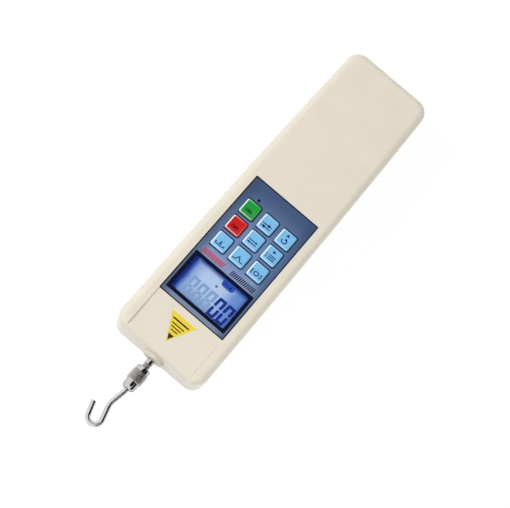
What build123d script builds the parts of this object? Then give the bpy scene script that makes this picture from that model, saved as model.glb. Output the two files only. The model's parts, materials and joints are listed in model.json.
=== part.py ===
from build123d import *

# Hand-held digital force gauge with a hook.
# Millimetres. +X runs across the housing, +Y from the hook end to the far end, +Z out of the front.
# The origin is the centre of the four stand holes, on the flat back of the rear cover.
# The thickness follows from the two rows of battery cells, the panel's length from what it carries.

import math
import os

os.makedirs("parts", exist_ok=True)

# ---------------------------------------------------------------- driving dimensions

# Housing outline, seen from the front
BODY_LENGTH = 230.0
HOOK_END_WIDTH = 66.0
MIDDLE_WIDTH = 64.9
MIDDLE_FROM_HOOK_END = 110.0
FAR_END_WIDTH = 60.8
HOOK_CORNER_RADIUS = 8.0
FAR_CORNER_RADIUS = 9.4

# Housing shells
WALL = 2.5
FRONT_WALL = 2.8
PARTING_HEIGHT = 9.0
FRONT_ROUND = 5.0
BACK_ROUND = 5.0
PARTING_CHAMFER = 0.3
TONGUE_WIDTH = 1.2
TONGUE_HEIGHT = 1.8
TONGUE_GAP = 0.15
FIT_GAP = 0.1
CUT_MARGIN = 3.0

# Front channel and panel
CHANNEL_DEPTH_AT_PANEL = 0.6
CHANNEL_DEPTH_AT_END = 1.1
PANEL_FROM_HOOK_END = 30.9
PANEL_THICKNESS = 0.8
PANEL_CORNER_RADIUS = 0.6
PANEL_MARGIN = 3.65
PANEL_SIDE_MARGIN = 2.4
TITLE_BAND = 8.4
LAMP_BAND = 14.25

# Keys, switches and status lamp
KEY_SIZE = 10.5
KEY_CORNER_RADIUS = 1.2
KEY_PITCH_X = 14.0
KEY_PITCH_Y = 13.3
KEY_PROUD = 1.3
KEY_EDGE_ROUND = 0.55
KEY_GAP = 0.25
KEY_TRAVEL = 0.6
KEY_FLANGE_OVERHANG = 0.7
KEY_FLANGE_THICKNESS = 1.0
KEY_STEM_DIAMETER = 5.0
KEY_STEM_LENGTH = 0.4
KEY_ROWS = 3
SWITCH_SIZE = 6.0
SWITCH_HEIGHT = 3.0
SWITCH_FLOOR = 0.4
PLUNGER_DIAMETER = 3.4
PLUNGER_PROUD = 0.8
LAMP_X = -13.4
LAMP_BEYOND_KEYS = 2.75
LAMP_TIP_DIAMETER = 1.8
LAMP_BODY_DIAMETER = 3.0
LAMP_RECESS = 0.1

# Display
BEZEL_WIDTH = 44.2
BEZEL_HEIGHT = 28.1
BEZEL_BORDER = 2.0
BEZEL_PROUD = 0.25
BEZEL_FLANGE = 1.4
BEZEL_FLANGE_THICKNESS = 1.0
BEZEL_LIP = 0.6
BEZEL_CORNER_RADIUS = 0.7
WINDOW_REBATE = 0.7
WINDOW_THICKNESS = 1.2
GLASS_THICKNESS = 1.6
BACKLIGHT_HEIGHT = 21.0
CONTACT_STRIP_LENGTH = 38.0
CONTACT_STRIP_WIDTH = 1.4

# Main board
BOARD_WIDTH = 49.0
BOARD_THICKNESS = 1.6
BOARD_HOOK_MARGIN = 4.6
BOARD_FAR_MARGIN = 3.1
BOARD_POST_X = 20.0
BOARD_POST_INSET = 3.2
BOARD_POST_DIAMETER = 5.0
BOARD_SCREW_DIAMETER = 2.0
BOARD_SCREW_HEAD_DIAMETER = 3.8
BOARD_SCREW_HEAD_HEIGHT = 1.5
BOARD_SCREW_DEPTH = 3.5
CHIP_SIZE = 12.0
CHIP_THICKNESS = 1.5
CHIP_PLACES_X = (-14.0, 0.0)
BUZZER_DIAMETER = 12.0
BUZZER_HEIGHT = 8.5
BUZZER_X = 14.0
BUZZER_VENT_DIAMETER = 1.8
BUZZER_VENT_DEPTH = 1.5

# Measuring shaft and its guide
SHAFT_DIAMETER = 4.9
SHAFT_CHAMFER = 0.5
SHAFT_TRAVEL = 0.25
RUNNING_CLEARANCE = 0.08
BUSH_FLANGE_DIAMETER = 14.6
BUSH_PROUD = 2.3
BUSH_EDGE_ROUND = 1.3
BUSH_SLEEVE_DIAMETER = 9.0
BUSH_PAD_DIAMETER = 14.0
BUSH_PAD_THICKNESS = 1.5
NUT_ACROSS_FLATS = 12.0
NUT_THICKNESS = 3.0
BUSH_TAIL = 1.0
LOCK_NUT_ACROSS_FLATS = 8.0
LOCK_NUT_THICKNESS = 3.2

# Load cell
CELL_FROM_HOOK_END = 27.0
CELL_LENGTH = 50.0
CELL_WIDTH = 38.0
CELL_THICKNESS = 12.0
CELL_EYE_DIAMETER = 11.0
CELL_EYE_SPACING = 16.0
CELL_EYE_SLOT = 4.0
CELL_SLOT_OFFSET = 10.5
CELL_SLOT_WIDTH = 1.6
CELL_SLOT_END_WEB = 6.0
CELL_SLOT_RELIEF = 3.0
CELL_HOLE_DEPTH = 8.0
GAUGE_FOIL_THICKNESS = 0.2
GAUGE_FOIL_ARC = 40.0
GAUGE_FOIL_HEIGHT = 6.0
ANCHOR_WIDTH = 28.0
ANCHOR_LENGTH = 12.0
ANCHOR_EDGE = 1.0
CELL_BOLT_DIAMETER = 5.9
CELL_BOLT_HEAD_DIAMETER = 10.0
CELL_BOLT_HEAD_HEIGHT = 6.0
CELL_BOLT_SOCKET = 5.0
CELL_BOLT_SOCKET_DEPTH = 3.0
CELL_BOLT_END_GAP = 1.0
ANCHOR_SCREW_DIAMETER = 4.0
ANCHOR_SCREW_HEAD_DIAMETER = 7.5
ANCHOR_SCREW_HEAD_DEPTH = 2.0
ANCHOR_SCREW_SPACING = 16.0
ANCHOR_SCREW_DEPTH = 7.0

# Coupler and hook, measured outwards from the housing's hook end
COUPLER_START = 8.8
COUPLER_FRONT_BAND_LENGTH = 3.0
COUPLER_FRONT_BAND_DIAMETER = 8.8
COUPLER_GRIP_LENGTH = 7.4
COUPLER_GRIP_DIAMETER = 9.7
COUPLER_REAR_BAND_LENGTH = 3.1
COUPLER_REAR_BAND_DIAMETER = 8.4
COUPLER_NOSE_LENGTH = 2.5
COUPLER_NOSE_DIAMETER = 5.2
COUPLER_EDGE = 0.4
COUPLER_THREAD_CLEARANCE = 0.1
COUPLER_SHOULDER_THICKNESS = 3.0
THREAD_PITCH = 0.8
COUPLER_TURNS = 8
WASHER_THICKNESS = 0.5
WASHER_CLEARANCE = 0.1
HOOK_WIRE_DIAMETER = 3.2
HOOK_WIRE_CLEARANCE = 0.15
HOOK_HEAD_DIAMETER = 4.7
HOOK_HEAD_THICKNESS = 2.0
HOOK_SEAT_GAP = 0.05
HOOK_NECK_END = 26.5
HOOK_WAIST_X = -1.95
HOOK_WAIST_FROM_HOOK_END = 37.9
HOOK_HEEL_X = 0.95
HOOK_HEEL_FROM_HOOK_END = 47.9
HOOK_BEND_RADIUS = 4.4
HOOK_BEND_ANGLE = 179.5
HOOK_TIP_LENGTH = 8.5
HOOK_NECK_BEND = 14.0
HOOK_WAIST_BEND = 9.0

# Housing screws and stand holes
SCREW_DIAMETER = 3.0
SCREW_HEAD_DIAMETER = 5.6
SCREW_HEAD_HEIGHT = 2.2
SCREW_HEAD_RECESS = 4.0
SCREW_DEPTH_IN_FRONT = 10.0
SCREW_POST_DIAMETER = 7.2
SCREW_END_GAP = 2.5
SCREW_CLEARANCE = 0.1
SCREW_HOLE_CLEARANCE = 0.2
SCREW_EDGE_INSET = 8.7
SCREW_FROM_HOOK_END = 12.0
SCREW_FROM_FAR_END = 12.5
STAND_SPACING_X = 40.0
STAND_SPACING_Y = 60.0
STAND_HOLE_DIAMETER = 3.3
STAND_HOLE_DEPTH = 6.5
STAND_BOSS_DIAMETER = 9.0
STAND_BOSS_HEIGHT = 8.5

# Batteries
CELL_CAN_DIAMETER = 14.2
CELL_CAN_LENGTH = 50.0
CELL_CAP_DIAMETER = 5.5
CELL_CAP_HEIGHT = 0.8
BATTERY_FROM_FAR_END = 22.0
BATTERY_HEADROOM = 0.35
BATTERY_SPACING = 14.35
BATTERY_COLUMNS = 3
BATTERY_ROWS = 2
SLEEVE_THICKNESS = 0.3
TRAY_WALL = 1.2
TRAY_HEIGHT = 14.0
TRAY_GAP = 0.2
TRAY_TO_STAND_BOSS = 6.3

# Far end sockets
CHARGE_SOCKET_X = 8.0
CHARGE_SOCKET_DIAMETER = 8.0
CHARGE_BORE_DIAMETER = 5.6
CHARGE_PIN_DIAMETER = 2.0
CHARGE_PIN_INSET = 0.8
CHARGE_BORE_DEPTH = 9.0
DATA_SOCKET_X = -8.0
DATA_SOCKET_DIAMETER = 6.0
DATA_BORE_DIAMETER = 3.6
DATA_BORE_DEPTH = 11.0
SOCKET_RIM = 0.8
SOCKET_RIM_WIDTH = 1.0
SOCKET_BLOCK_WIDTH = 10.0
SOCKET_BLOCK_LENGTH = 12.0
SOCKET_BLOCK_BELOW_AXIS = 5.0
SOCKET_BLOCK_ABOVE_AXIS = 5.0
INTERFACE_BOARD_WIDTH = 35.0
INTERFACE_BOARD_LENGTH = 15.0
INTERFACE_BOARD_THICKNESS = 1.6
INTERFACE_POST_DIAMETER = 5.0
INTERFACE_POST_X = 15.4

# ---------------------------------------------------------------- places worked out from them

BATTERY_BOTTOM = WALL + TRAY_WALL + SLEEVE_THICKNESS
BATTERY_TOP = BATTERY_BOTTOM + BATTERY_SPACING * (BATTERY_ROWS - 1) + CELL_CAN_DIAMETER + SLEEVE_THICKNESS
INNER_TOP = BATTERY_TOP + BATTERY_HEADROOM
BODY_THICKNESS = INNER_TOP + FRONT_WALL
SHAFT_HEIGHT = BODY_THICKNESS / 2
SOCKET_HEIGHT = SHAFT_HEIGHT
TRAY_NEAR_Y = STAND_SPACING_Y / 2 + STAND_BOSS_DIAMETER / 2 + TRAY_TO_STAND_BOSS
BATTERY_NEAR_Y = TRAY_NEAR_Y + TRAY_WALL + TRAY_GAP
BATTERY_FAR_Y = BATTERY_NEAR_Y + CELL_CAN_LENGTH + CELL_CAP_HEIGHT
FAR_END_Y = BATTERY_FAR_Y + BATTERY_FROM_FAR_END
HOOK_END_Y = FAR_END_Y - BODY_LENGTH
MIDDLE_Y = HOOK_END_Y + MIDDLE_FROM_HOOK_END
PANEL_TOP = BODY_THICKNESS - CHANNEL_DEPTH_AT_PANEL
PANEL_BOTTOM = PANEL_TOP - PANEL_THICKNESS
PANEL_HOOK_Y = HOOK_END_Y + PANEL_FROM_HOOK_END
DISPLAY_Y = PANEL_HOOK_Y + PANEL_MARGIN + BEZEL_HEIGHT / 2
KEY_GRID_LENGTH = KEY_PITCH_Y * (KEY_ROWS - 1) + KEY_SIZE
KEYS_Y = DISPLAY_Y + BEZEL_HEIGHT / 2 + TITLE_BAND + KEY_GRID_LENGTH / 2
LAMP_Y = KEYS_Y + KEY_GRID_LENGTH / 2 + LAMP_BEYOND_KEYS
PANEL_FAR_Y = KEYS_Y + KEY_GRID_LENGTH / 2 + LAMP_BAND
PANEL_LENGTH = PANEL_FAR_Y - PANEL_HOOK_Y
PANEL_WIDTH = BEZEL_WIDTH + 2 * PANEL_SIDE_MARGIN
PANEL_Y = (PANEL_HOOK_Y + PANEL_FAR_Y) / 2
KEY_TOP = PANEL_TOP + KEY_PROUD
PLUNGER_TOP = INNER_TOP - KEY_FLANGE_THICKNESS - KEY_STEM_LENGTH
SWITCH_TOP = PLUNGER_TOP - PLUNGER_PROUD
BOARD_TOP_HEIGHT = SWITCH_TOP - SWITCH_HEIGHT
BOARD_HOOK_Y = PANEL_HOOK_Y - BOARD_HOOK_MARGIN
BOARD_FAR_Y = PANEL_FAR_Y - BOARD_FAR_MARGIN
BOARD_LENGTH = BOARD_FAR_Y - BOARD_HOOK_Y
BOARD_BOTTOM = BOARD_TOP_HEIGHT - BOARD_THICKNESS
CELL_NEAR_Y = HOOK_END_Y + CELL_FROM_HOOK_END
CELL_FAR_Y = CELL_NEAR_Y + CELL_LENGTH
ANCHOR_FAR_Y = CELL_FAR_Y + ANCHOR_LENGTH
SLEEVE_HALF_WIDTH = BATTERY_SPACING * (BATTERY_COLUMNS - 1) / 2 + CELL_CAN_DIAMETER / 2 + SLEEVE_THICKNESS
INTERFACE_BOARD_TOP = SOCKET_HEIGHT - SOCKET_BLOCK_BELOW_AXIS
INTERFACE_BOARD_BOTTOM = INTERFACE_BOARD_TOP - INTERFACE_BOARD_THICKNESS
SOCKET_FACE_Y = FAR_END_Y - WALL

KEY_LAYOUT = [
    ("key_save", -1, -1), ("key_peak", 0, -1), ("key_zero", 1, -1),
    ("key_off", -1, 0), ("key_unit", 0, 0), ("key_check", 1, 0),
    ("key_on", -1, 1), ("key_set", 0, 1), ("key_rotate", 1, 1),
]
KEY_PLACES = {
    name: (column * KEY_PITCH_X, KEYS_Y + row * KEY_PITCH_Y) for name, column, row in KEY_LAYOUT
}


def half_width(y):
    """Half the housing's width at this y, taken straight between its three named widths."""
    if y < MIDDLE_Y:
        share = (y - HOOK_END_Y) / MIDDLE_FROM_HOOK_END
        return (HOOK_END_WIDTH + share * (MIDDLE_WIDTH - HOOK_END_WIDTH)) / 2
    share = (y - MIDDLE_Y) / (FAR_END_Y - MIDDLE_Y)
    return (MIDDLE_WIDTH + share * (FAR_END_WIDTH - MIDDLE_WIDTH)) / 2


SCREW_ROWS = [
    HOOK_END_Y + SCREW_FROM_HOOK_END,
    (BOARD_FAR_Y + TRAY_NEAR_Y) / 2,
    FAR_END_Y - SCREW_FROM_FAR_END,
]
SCREW_PLACES = [
    (side * (half_width(y) - SCREW_EDGE_INSET), y) for y in SCREW_ROWS for side in (-1, 1)
]
STAND_PLACES = [
    (x * STAND_SPACING_X / 2, y * STAND_SPACING_Y / 2) for y in (-1, 1) for x in (-1, 1)
]
ANCHOR_SCREW_PLACES = [
    (side * ANCHOR_SCREW_SPACING / 2, CELL_FAR_Y + ANCHOR_LENGTH / 2) for side in (-1, 1)
]
BOARD_POST_PLACES = [
    (side * BOARD_POST_X, y)
    for y in (BOARD_HOOK_Y + BOARD_POST_INSET, BOARD_FAR_Y - BOARD_POST_INSET)
    for side in (-1, 1)
]
INTERFACE_BOARD_Y = SOCKET_FACE_Y - INTERFACE_BOARD_LENGTH / 2
INTERFACE_POST_PLACES = [
    (side * INTERFACE_POST_X, INTERFACE_BOARD_Y) for side in (-1, 1)
]


# ---------------------------------------------------------------- small helpers

def column(x, y, bottom, top, diameter):
    """An upright cylinder between two heights."""
    return Pos(x, y, bottom) * Cylinder(
        diameter / 2, top - bottom, align=(Align.CENTER, Align.CENTER, Align.MIN)
    )


def columns(places, bottom, top, diameter):
    """Upright cylinders at several places."""
    return [column(x, y, bottom, top, diameter) for x, y in places]


def block(x, y, bottom, top, size_x, size_y, corner=0.0):
    """An upright prism, centred on x, y, with rounded plan corners where a radius is given."""
    plan = RectangleRounded(size_x, size_y, corner) if corner else Rectangle(size_x, size_y)
    return extrude(Pos(x, y, bottom) * plan, top - bottom)


def along_y(x, z, start, end, diameter):
    """A cylinder that lies along Y between two y values."""
    return extrude(Plane(origin=(x, start, z), z_dir=(0, 1, 0)) * Circle(diameter / 2), end - start)


def turned(x, z, profile):
    """A solid of revolution about a line along Y, from (radius, y) points in order."""
    points = [(x + radius, y) for radius, y in profile]
    plane = Plane(origin=(0, 0, z))
    return revolve(plane * Polygon(*points, align=None), Axis((x, 0, z), (0, 1, 0)))


def hex_along_y(x, z, start, end, across_flats, hole):
    """A hexagon nut whose axis lies along Y."""
    plane = Plane(origin=(x, start, z), z_dir=(0, 1, 0))
    plan = RegularPolygon(across_flats / 2, 6, major_radius=False) - Circle(hole / 2)
    return extrude(plane * plan, end - start)


def save(name, shape):
    """Write one node's solids to its own file."""
    export_step(shape, f"parts/{name}.step")


# ---------------------------------------------------------------- housing shells

def housing_outline(inset):
    """The housing's plan outline, drawn in evenly: two long shallow side arcs with rounded corners."""
    hook_half = HOOK_END_WIDTH / 2 - inset
    middle_half = MIDDLE_WIDTH / 2 - inset
    far_half = FAR_END_WIDTH / 2 - inset
    hook_y = HOOK_END_Y + inset
    far_y = FAR_END_Y - inset
    plan = make_face([
        ThreePointArc((hook_half, hook_y), (middle_half, MIDDLE_Y), (far_half, far_y)),
        Line((far_half, far_y), (-far_half, far_y)),
        ThreePointArc((-far_half, far_y), (-middle_half, MIDDLE_Y), (-hook_half, hook_y)),
        Line((-hook_half, hook_y), (hook_half, hook_y)),
    ])
    plan = fillet(plan.vertices().group_by(Axis.Y)[0], HOOK_CORNER_RADIUS - inset)
    return fillet(plan.vertices().group_by(Axis.Y)[-1], FAR_CORNER_RADIUS - inset)


def straight_walls(bottom, top, inset):
    """The housing's outline, drawn in evenly and extruded between two heights."""
    return extrude(Pos(0, 0, bottom) * housing_outline(inset), top - bottom)


def front_form(top, inset):
    """The front shell's solid form, with its front edge rounded all the way round."""
    form = straight_walls(PARTING_HEIGHT, top, inset)
    return fillet(form.faces().sort_by(Axis.Z)[-1].edges(), FRONT_ROUND - inset)


def back_form(bottom, inset):
    """The rear shell's solid form, with its back edge rounded all the way round."""
    form = straight_walls(bottom, PARTING_HEIGHT, inset)
    return fillet(form.faces().sort_by(Axis.Z)[0].edges(), BACK_ROUND - inset)


def chamfered_rim(form, end):
    """A shell form with a fine chamfer round its parting edge, the lowest (0) or the highest (-1)."""
    return chamfer(form.faces().sort_by(Axis.Z)[end].edges(), PARTING_CHAMFER)


def channel():
    """The sloping channel between the rails and the pocket that the panel lies in."""
    above = BODY_THICKNESS + CUT_MARGIN
    beyond = HOOK_END_Y - CUT_MARGIN
    slope = (CHANNEL_DEPTH_AT_END - CHANNEL_DEPTH_AT_PANEL) / PANEL_FROM_HOOK_END
    depth_beyond = CHANNEL_DEPTH_AT_END + slope * CUT_MARGIN
    wedge = Plane.YZ * Polygon(
        (PANEL_HOOK_Y, PANEL_TOP), (PANEL_HOOK_Y, above), (beyond, above),
        (beyond, BODY_THICKNESS - depth_beyond), align=None,
    )
    pocket = block(0, PANEL_Y, PANEL_BOTTOM, above, PANEL_WIDTH, PANEL_LENGTH, PANEL_CORNER_RADIUS)
    return [extrude(wedge, PANEL_WIDTH / 2, both=True), pocket]


def front_openings(bottom, top):
    """Holes through the front wall and the panel for the bezel, the keys and the lamp."""
    window_width = BEZEL_WIDTH + 2 * KEY_GAP
    window_height = BEZEL_HEIGHT + 2 * KEY_GAP
    holes = [block(0, DISPLAY_Y, bottom, top, window_width, window_height, BEZEL_CORNER_RADIUS)]
    hole_size = KEY_SIZE + 2 * KEY_GAP
    for x, y in KEY_PLACES.values():
        holes.append(block(x, y, bottom, top, hole_size, hole_size, KEY_CORNER_RADIUS + KEY_GAP))
    holes.append(column(LAMP_X, LAMP_Y, bottom, top, LAMP_TIP_DIAMETER + 2 * FIT_GAP))
    return holes


def front_housing():
    """The deep front shell, with its screw posts, board posts and bush pad."""
    pad_end = HOOK_END_Y + WALL + BUSH_PAD_THICKNESS
    hollow = front_form(INNER_TOP, WALL)
    hollow -= columns(SCREW_PLACES, PARTING_HEIGHT, BODY_THICKNESS, SCREW_POST_DIAMETER)
    hollow -= columns(BOARD_POST_PLACES, BOARD_TOP_HEIGHT, BODY_THICKNESS, BOARD_POST_DIAMETER)
    hollow -= along_y(0, SHAFT_HEIGHT, HOOK_END_Y, pad_end, BUSH_PAD_DIAMETER)
    shell = chamfered_rim(front_form(BODY_THICKNESS, 0), 0) - hollow
    shell -= channel()
    shell -= front_openings(PARTING_HEIGHT, BODY_THICKNESS)
    shell -= columns(
        SCREW_PLACES, PARTING_HEIGHT, PARTING_HEIGHT + SCREW_DEPTH_IN_FRONT,
        SCREW_DIAMETER + 2 * SCREW_CLEARANCE,
    )
    shell -= columns(
        BOARD_POST_PLACES, BOARD_TOP_HEIGHT, BOARD_TOP_HEIGHT + BOARD_SCREW_DEPTH,
        BOARD_SCREW_DIAMETER + 2 * SCREW_CLEARANCE,
    )
    shell -= along_y(
        0, SHAFT_HEIGHT, HOOK_END_Y - CUT_MARGIN, pad_end + CUT_MARGIN, BUSH_SLEEVE_DIAMETER + 2 * FIT_GAP
    )
    for x, diameter in socket_places():
        shell -= along_y(
            x, SOCKET_HEIGHT, SOCKET_FACE_Y - CUT_MARGIN, FAR_END_Y + CUT_MARGIN, diameter + 2 * FIT_GAP
        )
    return shell


def tongue():
    """The lip on the rear cover that locates it inside the front shell."""
    outer = WALL + TONGUE_GAP
    return (
        straight_walls(PARTING_HEIGHT, PARTING_HEIGHT + TONGUE_HEIGHT, outer)
        - straight_walls(PARTING_HEIGHT, PARTING_HEIGHT + TONGUE_HEIGHT, outer + TONGUE_WIDTH)
    )


def rear_cover():
    """The shallow rear shell, with its posts, stand bosses, lip and recessed screw holes."""
    hollow = back_form(WALL, WALL)
    hollow -= columns(SCREW_PLACES, 0, PARTING_HEIGHT, SCREW_POST_DIAMETER)
    hollow -= columns(STAND_PLACES, 0, STAND_BOSS_HEIGHT, STAND_BOSS_DIAMETER)
    shell = chamfered_rim(back_form(0, 0), -1) - hollow
    lip_root = (
        straight_walls(PARTING_HEIGHT - TONGUE_WIDTH, PARTING_HEIGHT, TONGUE_GAP)
        - straight_walls(PARTING_HEIGHT - TONGUE_WIDTH, PARTING_HEIGHT, WALL + TONGUE_GAP + TONGUE_WIDTH)
    )
    shell += lip_root
    shell += tongue()
    shell += columns(INTERFACE_POST_PLACES, WALL, INTERFACE_BOARD_BOTTOM, INTERFACE_POST_DIAMETER)
    shell -= columns(SCREW_PLACES, 0, PARTING_HEIGHT, SCREW_DIAMETER + 2 * SCREW_HOLE_CLEARANCE)
    shell -= columns(SCREW_PLACES, 0, SCREW_HEAD_RECESS, SCREW_HEAD_DIAMETER + 2 * SCREW_HOLE_CLEARANCE)
    shell -= columns(STAND_PLACES, 0, STAND_HOLE_DEPTH, STAND_HOLE_DIAMETER)
    shell -= columns(
        INTERFACE_POST_PLACES, INTERFACE_BOARD_BOTTOM - BOARD_SCREW_DEPTH, INTERFACE_BOARD_BOTTOM,
        BOARD_SCREW_DIAMETER + 2 * SCREW_CLEARANCE,
    )
    shell -= [countersink(x, y, SCREW_CLEARANCE) for x, y in ANCHOR_SCREW_PLACES]
    return shell


def countersink(x, y, gap):
    """A countersunk screw's form, standing upward from the back face, grown by a gap."""
    head = ANCHOR_SCREW_HEAD_DIAMETER / 2 + gap
    shank = ANCHOR_SCREW_DIAMETER / 2 + gap
    top = WALL + ANCHOR_SCREW_DEPTH
    profile = Plane.XZ * Polygon(
        (0, 0), (head, 0), (shank, ANCHOR_SCREW_HEAD_DEPTH), (shank, top), (0, top), align=None
    )
    return Pos(x, y, 0) * revolve(profile, Axis.Z)


def housing_screws():
    """Pan-head screws that hold the shells together, from the back."""
    seat = SCREW_HEAD_RECESS
    tip = PARTING_HEIGHT + SCREW_DEPTH_IN_FRONT - SCREW_END_GAP
    heads = columns(SCREW_PLACES, seat - SCREW_HEAD_HEIGHT, seat, SCREW_HEAD_DIAMETER)
    shanks = columns(SCREW_PLACES, seat, tip, SCREW_DIAMETER)
    return Compound([head + shank for head, shank in zip(heads, shanks)])


# ---------------------------------------------------------------- front panel, keys and display

def front_panel():
    """The blue-grey sheet that lies in the front pocket."""
    width = PANEL_WIDTH - 2 * FIT_GAP
    length = PANEL_LENGTH - 2 * FIT_GAP
    sheet = block(0, PANEL_Y, PANEL_BOTTOM, PANEL_TOP, width, length, PANEL_CORNER_RADIUS)
    return sheet - front_openings(PANEL_BOTTOM, PANEL_TOP)


def key(x, y):
    """A key cap with rounded edges, its retaining flange and its stem."""
    cap = block(x, y, INNER_TOP, KEY_TOP, KEY_SIZE, KEY_SIZE, KEY_CORNER_RADIUS)
    cap = fillet(cap.faces().sort_by(Axis.Z)[-1].edges(), KEY_EDGE_ROUND)
    flange_size = KEY_SIZE + 2 * KEY_FLANGE_OVERHANG
    flange = block(
        x, y, INNER_TOP - KEY_FLANGE_THICKNESS, INNER_TOP, flange_size, flange_size, KEY_CORNER_RADIUS
    )
    stem = column(x, y, PLUNGER_TOP, INNER_TOP - KEY_FLANGE_THICKNESS, KEY_STEM_DIAMETER)
    return cap + flange + stem


def plunger(x, y):
    """The button inside one push switch, which the key's stem presses."""
    return column(x, y, BOARD_TOP_HEIGHT + SWITCH_FLOOR + KEY_TRAVEL, PLUNGER_TOP, PLUNGER_DIAMETER)


def switches():
    """The push switches' bodies, one under each key."""
    bodies = []
    for x, y in KEY_PLACES.values():
        body = block(x, y, BOARD_TOP_HEIGHT, SWITCH_TOP, SWITCH_SIZE, SWITCH_SIZE)
        bore = column(x, y, BOARD_TOP_HEIGHT + SWITCH_FLOOR, SWITCH_TOP, PLUNGER_DIAMETER + 2 * FIT_GAP)
        bodies.append(body - bore)
    return Compound(bodies)


def status_lamp():
    """The small lamp whose tip shows in the panel."""
    body = column(LAMP_X, LAMP_Y, BOARD_TOP_HEIGHT, INNER_TOP - FIT_GAP, LAMP_BODY_DIAMETER)
    tip = column(LAMP_X, LAMP_Y, BOARD_TOP_HEIGHT, PANEL_TOP - LAMP_RECESS, LAMP_TIP_DIAMETER)
    return body + tip


VIEW_WIDTH = BEZEL_WIDTH - 2 * BEZEL_BORDER
VIEW_HEIGHT = BEZEL_HEIGHT - 2 * BEZEL_BORDER
REBATE_WIDTH = VIEW_WIDTH + 2 * WINDOW_REBATE
REBATE_HEIGHT = VIEW_HEIGHT + 2 * WINDOW_REBATE
BEZEL_TOP = PANEL_TOP + BEZEL_PROUD
LIP_BOTTOM = BEZEL_TOP - BEZEL_LIP
WINDOW_BOTTOM = LIP_BOTTOM - WINDOW_THICKNESS
FLANGE_BOTTOM = INNER_TOP - BEZEL_FLANGE_THICKNESS
GLASS_WIDTH = REBATE_WIDTH - 2 * FIT_GAP
GLASS_HEIGHT = REBATE_HEIGHT - 2 * FIT_GAP
GLASS_TOP = WINDOW_BOTTOM - FIT_GAP
GLASS_BOTTOM = GLASS_TOP - GLASS_THICKNESS


def display_bezel():
    """The black frame round the display, with a flange behind the front wall."""
    frame = block(0, DISPLAY_Y, INNER_TOP, BEZEL_TOP, BEZEL_WIDTH, BEZEL_HEIGHT, BEZEL_CORNER_RADIUS)
    frame += block(
        0, DISPLAY_Y, FLANGE_BOTTOM, INNER_TOP, BEZEL_WIDTH + 2 * BEZEL_FLANGE,
        BEZEL_HEIGHT + 2 * BEZEL_FLANGE, BEZEL_CORNER_RADIUS,
    )
    frame -= block(0, DISPLAY_Y, FLANGE_BOTTOM, BEZEL_TOP, VIEW_WIDTH, VIEW_HEIGHT)
    frame -= block(0, DISPLAY_Y, FLANGE_BOTTOM, LIP_BOTTOM, REBATE_WIDTH, REBATE_HEIGHT)
    inner_lip = frame.edges().filter_by(GeomType.LINE).group_by(Axis.Z)[-1]
    inner_lip = [
        edge for edge in inner_lip
        if abs(edge.center().X) < (VIEW_WIDTH + BEZEL_BORDER) / 2
        and abs(edge.center().Y - DISPLAY_Y) < (VIEW_HEIGHT + BEZEL_BORDER) / 2
    ]
    return chamfer(inner_lip, BEZEL_LIP / 2)


def display_window():
    """The clear window, seated in the bezel's rebate from behind."""
    return block(0, DISPLAY_Y, WINDOW_BOTTOM, LIP_BOTTOM, GLASS_WIDTH, GLASS_HEIGHT)


def display_glass():
    """The liquid crystal glass, behind the window."""
    return block(0, DISPLAY_Y, GLASS_BOTTOM, GLASS_TOP, GLASS_WIDTH, GLASS_HEIGHT)


def display_backlight():
    """The light block between the board and the glass."""
    return block(0, DISPLAY_Y, BOARD_TOP_HEIGHT, GLASS_BOTTOM, GLASS_WIDTH, BACKLIGHT_HEIGHT)


def contact_strips():
    """The two elastic strips that join the glass to the board."""
    offset = (GLASS_HEIGHT - CONTACT_STRIP_WIDTH) / 2
    strips = []
    for side in (-1, 1):
        y = DISPLAY_Y + side * offset
        strips.append(block(0, y, BOARD_TOP_HEIGHT, GLASS_BOTTOM, CONTACT_STRIP_LENGTH, CONTACT_STRIP_WIDTH))
    return Compound(strips)


# ---------------------------------------------------------------- boards

def main_board():
    """The board behind the keys and the display."""
    middle = (BOARD_HOOK_Y + BOARD_FAR_Y) / 2
    board = block(0, middle, BOARD_BOTTOM, BOARD_TOP_HEIGHT, BOARD_WIDTH, BOARD_LENGTH)
    return board - columns(
        BOARD_POST_PLACES, BOARD_BOTTOM, BOARD_TOP_HEIGHT, BOARD_SCREW_DIAMETER + 2 * SCREW_CLEARANCE
    )


def small_screw(x, y, head_side, seat, depth):
    """A small screw: head_side is -1 for a head below its seat and 1 for one above it."""
    head_end = seat + head_side * BOARD_SCREW_HEAD_HEIGHT
    shank_end = seat - head_side * depth
    head = column(x, y, min(seat, head_end), max(seat, head_end), BOARD_SCREW_HEAD_DIAMETER)
    return head + column(x, y, min(seat, shank_end), max(seat, shank_end), BOARD_SCREW_DIAMETER)


def board_screws():
    """Screws that hold the main board up against its posts."""
    depth = BOARD_THICKNESS + BOARD_SCREW_DEPTH - FIT_GAP
    return Compound([small_screw(x, y, -1, BOARD_BOTTOM, depth) for x, y in BOARD_POST_PLACES])


CHIP_PLACES = [(x, KEYS_Y + KEY_PITCH_Y) for x in CHIP_PLACES_X]
BUZZER_PLACE = (BUZZER_X, KEYS_Y + KEY_PITCH_Y)


def chips():
    """The two flat chips on the back of the main board."""
    lower_face = BOARD_BOTTOM - CHIP_THICKNESS
    return Compound([block(x, y, lower_face, BOARD_BOTTOM, CHIP_SIZE, CHIP_SIZE) for x, y in CHIP_PLACES])


def buzzer():
    """The round buzzer on the back of the main board."""
    x, y = BUZZER_PLACE
    end = BOARD_BOTTOM - BUZZER_HEIGHT
    can = column(x, y, end, BOARD_BOTTOM, BUZZER_DIAMETER)
    return can - column(x, y, end, end + BUZZER_VENT_DEPTH, BUZZER_VENT_DIAMETER)


def socket_places():
    """Each far end socket's x and the diameter of its nose."""
    return [(CHARGE_SOCKET_X, CHARGE_SOCKET_DIAMETER), (DATA_SOCKET_X, DATA_SOCKET_DIAMETER)]


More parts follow.
